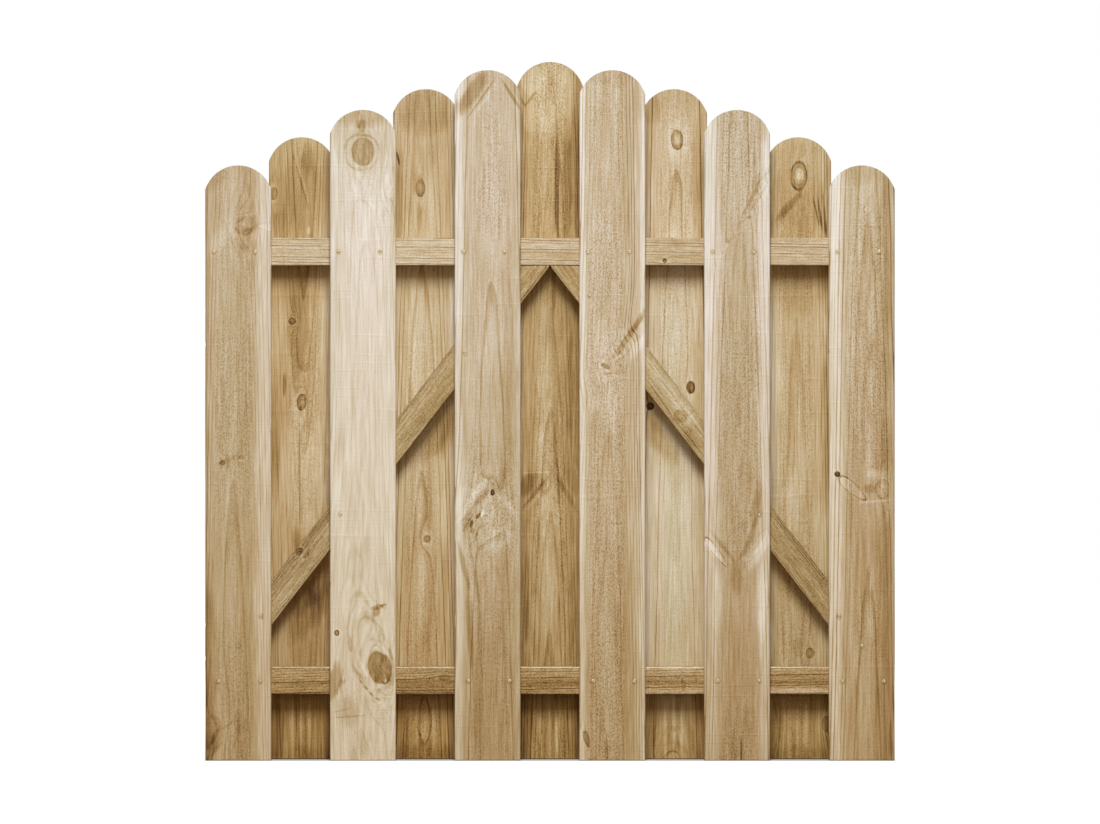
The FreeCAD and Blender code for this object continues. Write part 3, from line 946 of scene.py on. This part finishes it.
# %% Back boards
# Painted shade below knee height, and a darker foot that is partly damp wood and partly painted shade.
BACK_SHADE_AND_DAMP = (0.05, 0.05)
BACK_FOOT = (
    patch(-38, 30, 32, 150, 0.11), patch(40, 30, 34, 150, 0.11), stain_and_shade(-27, 40, 4, 130, 2, 0.08, 1.0),
    patch(-13, 36, 6, 120, -0.11), stain_and_shade(-8, 30, 3, 120, 1, 0.06, 1.0), patch(-1, 46, 5, 120, -0.11),
    stain_and_shade(5, 40, 3, 110, -1, 0.06, 1.0), patch(11, 40, 6, 110, -0.11), stain_and_shade(22, 36, 4, 130, -2, 0.07, 1.0),
    stain_and_shade(30, 44, 4, 120, -1, -0.08, 1.0),
)
BACK_BOARDS = {
    "back_board_1": Stick(
        0.592, pith=(4, 44), ring=2.5, taper=-0.02, contrast=0.3, fuzz=0.14, warm=0.2, olive=0.015,
        shade_tint=0.2, shade_and_damp=BACK_SHADE_AND_DAMP,
        knots=(
            knot(-40, 811, 11, 17, core=0.1, outline=0.15),
            knot(-14, 628, 10, 9, core=0.16, swell=5),
            knot(0, 512, 13, 23, 5, 0.18, 0.2, 5, heart=0.8),
        ),
        # Painted shade: patch(-38, 460, ...) beside the first front board, patch(0, 692, ...) under the upper
        # rail, and the three slanting marks at 212 to 252 up under the left brace. Painted light: patch(42,
        # 560, ...) on the right edge, in the shade of the second front board.
        stains_and_shade=(
            stain_and_shade(-2, 830, 2, 90, -16, 0.14, 0.6), stain_and_shade(3, 826, 4, 74, -16, -0.07),
            stain_and_shade(-4, 622, 34, 180, 0, 0.1), patch(-32, 640, 16, 200, -0.05),
            patch(32, 640, 20, 200, -0.05), stain_and_shade(-25, 535, 6, 44, 0, 0.2),
            stain_and_shade(-3, 416, 3, 180, 0, 0.18, 0.6), patch(0, 415, 84, 220, -0.1),
            patch(31, 610, 40, 600, -0.05), patch(0, 230, 90, 240, 0.03),
            stain_and_shade(14, 212, 44, 130, 36, 0.12, 1.0), stain_and_shade(-7, 315, 16, 44, 0, 0.1),
            patch(8, 862, 20, 60, 0.1), patch(-30, 766, 30, 50, 0.07), patch(0, 805, 100, 150, 0.1),
            patch(-38, 460, 20, 220, 0.11), patch(42, 560, 12, 760, -0.07), patch(0, 692, 120, 120, 0.07),
            stain_and_shade(26, 252, 36, 90, 20, 0.11, 1.0), stain_and_shade(-2, 226, 40, 80, 36, 0.09, 1.0),
            patch(0, 2, 120, 44, 0.06), patch(10, 335, 40, 60, -0.07), patch(-20, 250, 26, 260, -0.04),
            patch(26, 220, 40, 260, 0.03), stain_and_shade(10, 758, 5, 14, 0, -0.15),
        ),
    ),
    "back_board_2": Stick(
        0.65, pith=(-5, 50), ring=2.6, taper=0.018, contrast=0.3, fuzz=0.12, warm=0.1, olive=0.01,
        shade_tint=0.7, shade_and_damp=(0.1, 0.06),
        knots=(
            knot(-8, 819, 13, 24, 0, 0.18, 0.13, 4, halo=0.01, heart=0.7),
            knot(2, 316, 10, 11, core=0.2, swell=5),
            spike(-2, 58, 18, 62, 0, -0.03, 0.15, 9, 0.3),
        ),
        # Painted shade: patch(0, 690, ...) under the upper rail, and the two slanting marks at 466 and 474 up
        # in the corner under the left brace. Painted light: band(40, ...) and patch(40, 640, ...) on the
        # right edge, in the shade of the third front board.
        stains_and_shade=(
            band(40, 14, -0.05), patch(40, 640, 16, 190, -0.1), stain_and_shade(36, 474, 26, 110, 20, 0.1, 1.0),
            patch(0, 690, 120, 100, 0.05), patch(0, 2, 120, 54, 0.12), patch(0, 930, 100, 90, 0.1),
            patch(-5, 245, 16, 150, -0.08), patch(25, 240, 14, 190, 0.06), patch(-28, 260, 14, 260, 0.05),
            patch(26, 335, 14, 110, -0.08), stain_and_shade(20, 466, 36, 120, 36, 0.13, 1.0),
            stain_and_shade(-9, 780, 8, 56, 0, 0.1), stain_and_shade(-40, 862, 4, 24, -10, 0.3, 0.5),
            patch(8, 800, 16, 170, -0.06), patch(-14, 600, 24, 240, -0.06), stain_and_shade(5, 378, 8, 140, 0, 0.08),
            patch(-9, 380, 14, 120, -0.08), patch(-38, 800, 16, 180, 0.12), stain_and_shade(3, 213, 16, 140, 0, 0.07),
            patch(0, 840, 110, 260, 0.05),
        ),
    ),
    "back_board_3": Stick(
        0.527, pith=(0, 50), ring=2.6, taper=0.015, contrast=0.3, fuzz=0.17, rough=0.15, warm=0.15,
        olive=0.025, shade_tint=0.2, shade_and_damp=(0.0, 0.04),
        # Painted shade: band(-42, ...) and band(43, ...) along both edges, beside the third and fourth front
        # boards.
        stains_and_shade=(
            band(-42, 20, 0.06), band(43, 18, 0.06), patch(-4, 955, 110, 170, -0.12),
            stain_and_shade(-27, 948, 6, 38, 38, 0.13), stain_and_shade(-40, 944, 6, 26, -30, 0.13),
            stain_and_shade(-22, 381, 6, 66, 39, 0.13, 0.9), stain_and_shade(-32, 395, 26, 46, 30, 0.13, 0.8),
            stain_and_shade(-18, 376, 5, 66, 39, -0.07, 1.0), stain_and_shade(-21, 411, 3, 48, 88, -0.1, 0.8),
            stain_and_shade(22, 384, 10, 78, -30, 0.09, 1.0), stain_and_shade(31, 402, 24, 56, -20, 0.06, 1.0),
            patch(-2, 350, 40, 100, -0.1), patch(-4, 455, 28, 140, -0.05), patch(18, 352, 18, 90, -0.06),
            stain_and_shade(-12, 362, 16, 60, 30, -0.06, 1.0), patch(31, 200, 14, 180, 0.06),
            stain_and_shade(10, 822, 8, 186, 0, 0.2, 0.7), stain_and_shade(5, 673, 9, 70, 0, 0.18, 0.9),
            patch(25, 820, 16, 250, 0.12), patch(-25, 968, 40, 50, -0.06), patch(-3, 672, 14, 70, 0.07),
            patch(27, 540, 14, 280, 0.06), patch(-16, 440, 18, 150, -0.08), patch(-6, 500, 28, 250, -0.07),
            patch(0, 230, 90, 240, -0.045), patch(-8, 300, 60, 210, -0.05), patch(-8, 830, 30, 260, -0.07),
            patch(37, 850, 24, 300, 0.11), patch(-12, 600, 30, 260, -0.06), patch(-2, 240, 26, 240, -0.06),
            stain_and_shade(-33, 227, 8, 180, 0, 0.1), patch(35, 560, 22, 360, 0.1), stain_and_shade(9, 29, 8, 70, 0, -0.1),
        ),
    ),
    "back_board_4": Stick(
        0.695, pith=(2, 54), ring=2.6, taper=0.01, wander=7.0, contrast=0.34, fuzz=0.12, bands=0.44,
        warm=-0.08, olive=0.02, shade_tint=0.2, shade_and_damp=(-0.02, 0.14),
        knots=(
            knot(4, 888, 17, 28, 0, 0.16, 0.16, 1.8, halo=0.05, heart=1.2),
            knot(24, 533, 12, 18, core=0.34, outline=0.16, swell=4),
            knot(-34, 506, 11, 10, core=0.4, outline=0.2, swell=4),
            swirl(0, -8, 44, 36, 0, 12),
        ),
        # Painted shade: patch(0, 690, ...) under the upper rail, the two slanting marks at 460 and 496 up
        # under the right brace, and band(41, ...) on the right edge beside the fifth front board.
        stains_and_shade=(
            patch(0, 530, 110, 340, 0.05), patch(33, 460, 18, 460, 0.06), patch(0, 955, 100, 70, 0.05),
            patch(0, 690, 120, 100, 0.045), patch(0, 92, 90, 44, -0.04), patch(32, 835, 20, 180, 0.08),
            patch(-6, 622, 46, 140, -0.03), patch(0, 330, 84, 330, -0.04), patch(-2, 263, 18, 70, -0.06),
            stain_and_shade(-22, 460, 36, 120, -36, 0.13, 1.0), stain_and_shade(-32, 496, 26, 80, -20, 0.08, 1.0),
            band(41, 16, 0.06), patch(40, 800, 24, 200, 0.05), patch(-36, 935, 40, 60, 0.09),
            patch(-42, 840, 20, 120, 0.06),
        ),
    ),
    "back_board_5": Stick(
        0.642, pith=(-3, 52), ring=2.6, taper=0.009, contrast=0.32, fuzz=0.13, warm=0.08, olive=0.025,
        shade_tint=0.15, shade_and_damp=BACK_SHADE_AND_DAMP,
        knots=(
            knot(1, 836, 24, 39, 0, 0.1, 0.18, 5, heart=1.6),
            knot(17, 152, 12, 14, core=0.14),
            swirl(-36, 42, 34, 60, 0, 10),
            knot(41, 50, 16, 22, core=0.1, outline=0.1),
        ),
        # Painted shade: patch(0, 690, ...) under the upper rail, the slanting mark at 262 up under the right
        # brace, and band(44, ...) on the right edge beside the sixth front board. Painted light: patch(-40,
        # 500, ...) and patch(-40, 173, ...) on the left edge, in the shade of the fifth front board.
        stains_and_shade=(
            band(44, 12, 0.08), patch(-32, 520, 36, 400, -0.06), patch(0, 690, 120, 130, 0.09),
            patch(-40, 500, 14, 330, -0.07), patch(-40, 173, 14, 80, -0.08), patch(-9, 365, 30, 110, -0.09),
            patch(37, 470, 16, 330, 0.08), patch(33, 700, 14, 200, 0.06), patch(0, 2, 120, 44, 0.09),
            patch(8, 450, 30, 170, -0.05), stain_and_shade(-28, 262, 36, 120, -36, 0.05, 1.0),
            stain_and_shade(-14, 792, 14, 74, 42, 0.13, 1.0), stain_and_shade(-24, 776, 16, 40, 30, 0.05, 1.0),
            stain_and_shade(25, 788, 3, 54, -12, 0.2), stain_and_shade(31, 782, 4, 64, -8, 0.23),
            stain_and_shade(38, 776, 5, 70, -4, 0.23), stain_and_shade(-1, 160, 22, 32, 0, 0.07),
            stain_and_shade(2, 838, 14, 26, 0, -0.12, 0.9), patch(0, 800, 100, 190, 0.11),
        ),
    ),
}
print(len(FRONT_BOARDS) + len(BACK_BOARDS), "boards listed")

# %% [markdown]
# ## Reading the nails
# Round wire nails hold every board. Each nail of the frame is a loose part of its node's mesh, so the places
# are read from there. They are read once for the dark marks round the nails of the front boards, which are
# partly dirt and partly painted shade, and later for the heads.


# %% Nail places
def loose_parts(mesh):
    """The points of each separate solid of a mesh, by walking along its edges."""
    leader = list(range(len(mesh.vertices)))

    def find(point):
        while leader[point] != point:
            leader[point] = leader[leader[point]]
            point = leader[point]
        return point

    for edge in mesh.edges:
        a, b = edge.vertices
        leader[find(a)] = find(b)
    parts = {}
    for vertex in mesh.vertices:
        parts.setdefault(find(vertex.index), []).append(vertex.co)
    return parts.values()


def nail_places(node):
    """Where each nail of a node has its head, rounded so that the parts of one nail fall together."""
    places = set()
    for part in loose_parts(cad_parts[node].data):
        co = np.array(part)
        middle = (co.min(0) + co.max(0)) / 2
        places.add((round(middle[0], 4), round(middle[2], 4)))
    return sorted(places)


first_nails = [(float(x), float(z)) for x, z in nail_places("front_board_1_nails")]
print("nails in the first front board at", first_nails)

# %% [markdown]
# ## Cutting the round tops
# Each top is an arc a little wider than the board, so it meets the sides at a small shoulder. The arc's
# radius follows from the node's own box, and each column of the lattice simply ends on it.

# %% Boards
TOP_SHOULDER = 2.5 * MM
# Each nail of a front board gets a dark mark, partly dirt and partly painted shade, dropped a little below
# the nail where its head shades the board.
NAIL_DIRT_AND_SHADE_WIDTH, NAIL_DIRT_AND_SHADE_LENGTH, NAIL_SHADE_DROP = 10.0, 11.0, 1.0
NAIL_DIRT_AND_SHADE_DARK, NAIL_DIRT_AND_SHADE_SOFT = 0.12, 0.95


def nail_dirt_and_shade(node, centre_x):
    """A small dark mark round each nail of a front board, partly dirt and partly painted shade below the
    head.
    """
    nail_dirt_and_shade_marks = []
    for x, z in nail_places(node + "_nails"):
        across, up = (x - centre_x) / MM, z / MM - NAIL_SHADE_DROP
        nail_dirt_and_shade_marks.append(stain_and_shade(across, up, NAIL_DIRT_AND_SHADE_WIDTH, NAIL_DIRT_AND_SHADE_LENGTH, 0, NAIL_DIRT_AND_SHADE_DARK, NAIL_DIRT_AND_SHADE_SOFT))
    return nail_dirt_and_shade_marks


def make_board(node, stick, slot, number):
    """Build one round-topped board where its node is."""
    low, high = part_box(node)
    centre = (low + high) / 2
    width, depth, height = high - low
    radius = width / 2 + TOP_SHOULDER
    place = ((centre.x, centre.y, low.z), (1, 0, 0), (0, 1, 0), (0, 0, 1))

    def round_top(columns):
        return height - radius + np.sqrt(radius ** 2 - columns ** 2)

    rng = np.random.default_rng(100 + number)
    piece = stick_mesh("pine_" + node, stick, rng, width, depth, np.zeros_like, round_top, place)
    extra_marks = nail_dirt_and_shade(node, centre.x) if slot == "front_boards" else BACK_FOOT
    axes = {"Origin": (centre.x, low.y, low.z), "Across": (1, 0, 0), "Along": (0, 0, 1)}
    dress(piece, node, pine_material(node, stick, 1.7 * number, axes, width / 2, extra_marks))
    return len(piece.data.vertices)


points = 0
for slot, boards in (("front_boards", FRONT_BOARDS), ("back_boards", BACK_BOARDS)):
    for number, (node, stick) in enumerate(boards.items()):
        points += make_board(node, stick, slot, number + len(slot))
print("boards have", points, "points")

# %% [markdown]
# ## The rails
# The rails are square sticks that lie level between the two layers of boards. Their grain runs from side to
# side, in coarse lines, because such sticks are sawn from near the middle of the log. A thin pale strip along
# the top edge of the lower rail is partly torn wood and partly a painted highlight of that edge.

# %% Rails
RAILS = {
    "upper_rail": Stick(
        0.675, pith=(58, 40), ring=3.0, contrast=0.38, fuzz=0.13, bands=0.5, shade_tint=0.0, rough=0.7,
        wander=9.0, shade_and_damp=(0, 0), arris=1.3,
        knots=(knot(13, 164, 6, 6, core=0.4, swell=3),),
        stains_and_shade=(patch(0, 185, 90, 130, 0.035), patch(0, -180, 90, 130, -0.02), patch(0, 0, 90, 130, 0.02)),
    ),
    "lower_rail": Stick(
        0.505, pith=(-52, 36), ring=3.2, contrast=0.42, fuzz=0.17, bands=0.7, rough=1.0, warm=0.55,
        olive=0.005, shade_tint=0.0, wander=9.0, shade_and_damp=(0, 0), arris=1.3,
        knots=(knot(-4, -150, 8, 16, core=0.1, rings=0.0), spike(6, 190, 6, 18, 80, 0.12, 0.06)),
        stains_and_shade=(
            # The first mark, a thin pale strip along the top edge, is partly torn wood and partly a painted
            # highlight.
            stain_and_shade(-19.2, 0, 2.6, 9000, 0, -0.26, 0.5), band(2, 8, 0.06), band(14, 10, -0.05),
            patch(0, 180, 90, 130, -0.06), patch(0, 356, 90, 130, -0.03),
        ),
    ),
}


def make_rail(node, number):
    """Build one rail; across points down, so that the lattice keeps its right-handed sense."""
    low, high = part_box(node)
    centre = (low + high) / 2
    length, depth, height = high - low
    stick = RAILS[node]
    place = (tuple(centre), (0, 0, -1), (0, 1, 0), (1, 0, 0))

    def left(columns):
        return np.full_like(columns, -length / 2)

    def right(columns):
        return np.full_like(columns, length / 2)

    rng = np.random.default_rng(200 + number)
    piece = stick_mesh("pine_" + node, stick, rng, height, depth, left, right, place)
    axes = {"Origin": (centre.x, low.y, centre.z), "Across": (0, 0, -1), "Along": (1, 0, 0)}
    dress(piece, node, pine_material(node, stick, 31.0 + number, axes, height / 2, ()))


for number, node in enumerate(RAILS):
    make_rail(node, number)
print("rails:", list(RAILS))

# %% [markdown]
# ## The braces
# A brace runs from the end of the lower rail up to the middle of the upper rail. Its two ends are sawn level,
# to bear on the rails, and its sharp tip and toe are cut off plumb. The frame gives its box, and the slope
# follows from fitting a stick of the known width into that box.

# %% Braces
BRACE_WIDTH = 40.0 * MM
TIP_OVERRUN = 2.0 * MM
TOE_TRIM = 4.0 * MM
BRACES = {
    "left_brace": Stick(
        0.56, pith=(-46, 40), ring=2.3, contrast=0.24, fuzz=0.17, bands=0.6, rough=0.7, warm=0.08,
        olive=0.03, shade_tint=0.0, shade_and_damp=(0, 0), arris=1.3,
        knots=(knot(14, 543, 8, 11, core=0.2, rings=0.0), knot(3, 541, 6, 10, core=0.12, rings=0.0)),
        stains_and_shade=(patch(-13, 250, 14, 220, 0.06), patch(-9, 535, 26, 130, 0.08)),
    ),
    "right_brace": Stick(
        0.56, pith=(44, 40), ring=2.3, contrast=0.24, fuzz=0.17, bands=0.6, rough=0.7, warm=0.08,
        olive=0.03, shade_tint=0.0, shade_and_damp=(0, 0), arris=1.3,
        knots=(knot(4, 285, 18, 20, core=0.09, outline=0.06, swell=2, rings=0.1),),
        stains_and_shade=(
            patch(-8, 250, 26, 160, -0.05), patch(16, 270, 14, 180, 0.06), patch(0, 555, 90, 260, 0.04),
            # patch(0, 322, ...) is painted shade, where the fifth front board shades the brace.
            patch(0, 322, 50, 56, 0.07),
        ),
    ),
}


def make_brace(node, number):
    """Build one brace: along runs from the tip down to the toe, and across lies square to it."""
    low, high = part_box(node)
    side = 1.0 if (low + high).x > 0.0 else -1.0
    near = min(abs(low.x), abs(high.x))
    far = max(abs(low.x), abs(high.x))
    run = far - near + TIP_OVERRUN + TOE_TRIM
    rise = high.z - low.z
    slope = math.atan2(rise, run) + math.asin(BRACE_WIDTH / math.hypot(rise, run))
    sine, cosine = math.sin(slope), math.cos(slope)
    along = Vector((side * cosine, 0.0, -sine))
    across = Vector((-side * sine, 0.0, -cosine)) * side
    tip = Vector((side * (near - TIP_OVERRUN), (low.y + high.y) / 2, high.z))
    origin = tip - across * side * BRACE_WIDTH / 2
    stick = BRACES[node]
    place = (tuple(origin), tuple(across), (0, 1, 0), tuple(along))

    def level_cut(columns, z):
        return (origin.z - z + across.z * columns) / sine

    def plumb_cut(columns, x):
        return (x - side * origin.x - side * across.x * columns) / cosine

    def tip_end(columns):
        return np.maximum(level_cut(columns, high.z), plumb_cut(columns, near))

    def toe_end(columns):
        return np.minimum(level_cut(columns, low.z), plumb_cut(columns, far))

    rng = np.random.default_rng(300 + number)
    depth = high.y - low.y
    piece = stick_mesh("pine_" + node, stick, rng, BRACE_WIDTH, depth, tip_end, toe_end, place)
    axes = {"Origin": (origin.x, low.y, origin.z), "Across": tuple(across), "Along": tuple(along)}
    dress(piece, node, pine_material(node, stick, 41.0 + number, axes, BRACE_WIDTH / 2, ()))
    return math.degrees(slope)


slopes = [make_brace(node, number) for number, node in enumerate(BRACES)]
print("braces slope", [round(slope, 2) for slope in slopes], "degrees")

# %% [markdown]
# ## The nails
# Only the heads of the nails show: slightly domed discs, driven flush. One lathe profile, from the crown of
# the head to the point, is turned about each place. Their finish is dull zinc with darker, rustier blotches.

# %% Nail finish
BLOTCH_CELLS = (420.0, 420.0, 420.0)
RUSTY, ZINC = (138, 116, 84), (206, 190, 160)


def nail_material():
    """Dull zinc with darker, rustier blotches."""
    material, graph, shader = new_material("dull zinc")
    position = graph.add("ShaderNodeTexCoord", {}, "Object")
    blotch = graph.noise(position, BLOTCH_CELLS, 3.0, 0.6)
    fields = {"Factor": graph.smooth(blotch, 0.35, 0.65), 6: linear(RUSTY), 7: linear(ZINC)}
    colour = graph.add("ShaderNodeMix", fields, 2, data_type="RGBA")
    graph.fill(shader.inputs["Base Color"], colour)
    graph.fill(shader.inputs["Roughness"], graph.smooth(blotch, 0.3, 0.7, 0.62, 0.42))
    shader.inputs["Metallic"].default_value = 0.5
    bump = {"Distance": 0.2 * MM, "Height": blotch}
    graph.fill(shader.inputs["Normal"], graph.add("ShaderNodeBump", bump))
    return material


zinc = nail_material()
print("nail finish:", zinc.name)

# %% Nails
NAIL_PROFILE = (
    (0.0, 0.0), (1.3, 0.02), (2.1, 0.07), (2.6, 0.17), (2.8, 0.34), (2.8, 0.75), (2.3, 1.0), (1.25, 1.2),
    (1.25, 40.0), (0.0, 44.5),
)
NAIL_SIDES = 20
NAIL_SHARP_ANGLE = 50


def make_nails(node):
    """Turn one nail at each place of a nail node."""
    low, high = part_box(node)
    facing = 1.0 if abs(low.y) > abs(high.y) else -1.0
    head_y = low.y if facing > 0.0 else high.y
    verts, faces = [], []
    places = nail_places(node)
    for x, z in places:
        base = len(verts)
        for radius, deep in NAIL_PROFILE:
            for step in range(NAIL_SIDES):
                angle = math.tau * step / NAIL_SIDES * facing
                side, up = radius * MM * math.cos(angle), radius * MM * math.sin(angle)
                verts.append((x + side, head_y + facing * deep * MM, z + up))
        for ring in range(len(NAIL_PROFILE) - 1):
            for step in range(NAIL_SIDES):
                a = base + ring * NAIL_SIDES + step
                b = base + ring * NAIL_SIDES + (step + 1) % NAIL_SIDES
                faces.append((a, b, b + NAIL_SIDES, a + NAIL_SIDES))
    piece = add_piece("driven_" + node, verts, faces, NAIL_SHARP_ANGLE)
    dress(piece, node, zinc)
    return len(places)


counts = [make_nails(node) for node in sorted(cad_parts) if node.endswith("_nails")]
print(sum(counts), "nails in", len(counts), "groups")

# %% [markdown]
# ## Floor, light and camera
# The leaf stands on a plain white floor. One narrow soft box high in front is the key light: it leaves a
# soft, deep shade under each rail and little beside the boards. A weaker, warmer one low in front fills the
# shade, and a third lights the back. The floor and the world look white to the camera but give the wood only
# a little warm light, so the shade stays. Under the leaf the floor's glow drops to a painted shadow.

# %% Floor
FLOOR_HALF = 12.0
NEAR_GLOW, FAR_GLOW = 0.86, 1.0
GLOW_NEAR, GLOW_FAR = 0.9, 2.2
# Under the leaf's footprint the glow drops to this share, a painted shadow with a soft edge.
PAINTED_SHADOW_GLOW = 0.05
PAINTED_SHADOW_EDGE = 4.0 * MM
WARM_BOUNCE = (0.22, 0.16, 0.11, 1.0)
PAPER = (0.5, 0.5, 0.5, 1.0)
WHITE = (1.0, 1.0, 1.0, 1.0)


def white_floor():
    """A floor that the camera sees as white apart from the leaf's shadow, partly cast and partly painted
    under it.
    """
    material, graph, shader = new_material("studio floor")
    nodes = material.node_tree.nodes
    shader.inputs["Base Color"].default_value = WARM_BOUNCE
    shader.inputs["Roughness"].default_value = 0.9
    rays = nodes.new("ShaderNodeLightPath").outputs
    seen = graph.larger(rays["Is Camera Ray"], rays["Is Glossy Ray"])
    seen = graph.larger(seen, rays["Is Transmission Ray"])
    position = graph.add("ShaderNodeTexCoord", {}, "Object")
    away = graph.add("ShaderNodeVectorMath", {0: position}, "Value", operation="LENGTH")
    strength = graph.smooth(away, GLOW_NEAR, GLOW_FAR, NEAR_GLOW, FAR_GLOW)
    # Painted shadow: the glow is turned down under the leaf's footprint.
    places = graph.split(position)
    outside = [
        graph.smooth(graph.size(places[axis]), edge - PAINTED_SHADOW_EDGE, edge + PAINTED_SHADOW_EDGE)
        for axis, edge in (("X", cad_box[1].x), ("Y", cad_box[1].y))
    ]
    outside_painted_shadow = graph.larger(graph.larger(*outside), PAINTED_SHADOW_GLOW)
    strength = graph.times(strength, outside_painted_shadow)
    glow = graph.add("ShaderNodeEmission", {"Color": WHITE, "Strength": strength})
    paper = graph.add("ShaderNodeBsdfDiffuse", {"Color": PAPER})
    white = graph.add("ShaderNodeAddShader", {0: glow, 1: paper})
    mixed = graph.add("ShaderNodeMixShader", {0: seen, 1: shader.outputs[0], 2: white})
    graph.fill(nodes["Material Output"].inputs["Surface"], mixed)
    return material


floor_mesh = bpy.data.meshes.new("studio_floor")
corners = [(x * FLOOR_HALF, y * FLOOR_HALF, 0.0) for x, y in ((-1, -1), (1, -1), (1, 1), (-1, 1))]
floor_mesh.from_pydata(corners, [], [(0, 1, 2, 3)])
floor_mesh.materials.append(white_floor())
floor = bpy.data.objects.new("studio_floor", floor_mesh)
bpy.context.scene.collection.objects.link(floor)
print("floor of", 2 * FLOOR_HALF, "m")

# %% World
AMBIENT = (1.0, 0.64, 0.4, 1.0)
AMBIENT_STRENGTH = 0.08
world = bpy.data.worlds.new("studio")
bpy.context.scene.world = world
world.use_nodes = True
graph = Graph(world.node_tree)
rays = world.node_tree.nodes.new("ShaderNodeLightPath").outputs
soft = graph.add("ShaderNodeBackground", {"Color": AMBIENT, "Strength": AMBIENT_STRENGTH})
bright = graph.add("ShaderNodeBackground", {"Color": WHITE, "Strength": 1.0})
either = graph.larger(rays["Is Camera Ray"], rays["Is Transmission Ray"])
backdrop = graph.add("ShaderNodeMixShader", {0: either, 1: soft, 2: bright})
graph.fill(world.node_tree.nodes["World Output"].inputs["Surface"], backdrop)
print("world:", world.name)


# %% Lights
def soft_box(name, place, aim, width, height, power, colour):
    """A rectangular lamp that faces a point."""
    light = bpy.data.lights.new(name, "AREA")
    light.shape = "RECTANGLE"
    light.size, light.size_y = width, height
    light.energy = power
    light.color = colour
    lamp = bpy.data.objects.new(name, light)
    lamp.location = place
    lamp.rotation_mode = "QUATERNION"
    lamp.rotation_quaternion = (Vector(aim) - Vector(place)).to_track_quat("-Z", "Y")
    bpy.context.scene.collection.objects.link(lamp)


soft_box("key light", (0.0, -3.2, 2.75), (0.0, 0.0, 0.6), 0.8, 1.5, 145.0, (0.95, 0.99, 1.0))
soft_box("fill light", (0.0, -3.4, 1.1), (0.0, 0.0, 0.6), 2.2, 1.4, 17.0, (1.0, 0.82, 0.62))
soft_box("back light", (0.0, 3.6, 2.2), (0.0, 0.0, 0.5), 2.2, 1.5, 80.0, (1.0, 0.97, 0.92))
print("lamps:", [light.name for light in bpy.data.lights])

# %% Camera
PHOTO_WIDTH = 1100
PIXELS_PER_METRE = 700.7
CAMERA_DISTANCE = 12.0
CAMERA_HEIGHT = 0.4977
camera = bpy.data.cameras.new("camera")
camera.sensor_width = 36.0
camera.lens = camera.sensor_width * CAMERA_DISTANCE / (PHOTO_WIDTH / PIXELS_PER_METRE)
viewer = bpy.data.objects.new("camera", camera)
viewer.location = (0.0, cad_box[0].y - CAMERA_DISTANCE, CAMERA_HEIGHT)
viewer.rotation_euler = (math.radians(90), 0.0, 0.0)
bpy.context.scene.collection.objects.link(viewer)
bpy.context.scene.camera = viewer
bpy.context.scene.view_settings.view_transform = "Standard"
print("camera lens", round(camera.lens, 1), "mm")
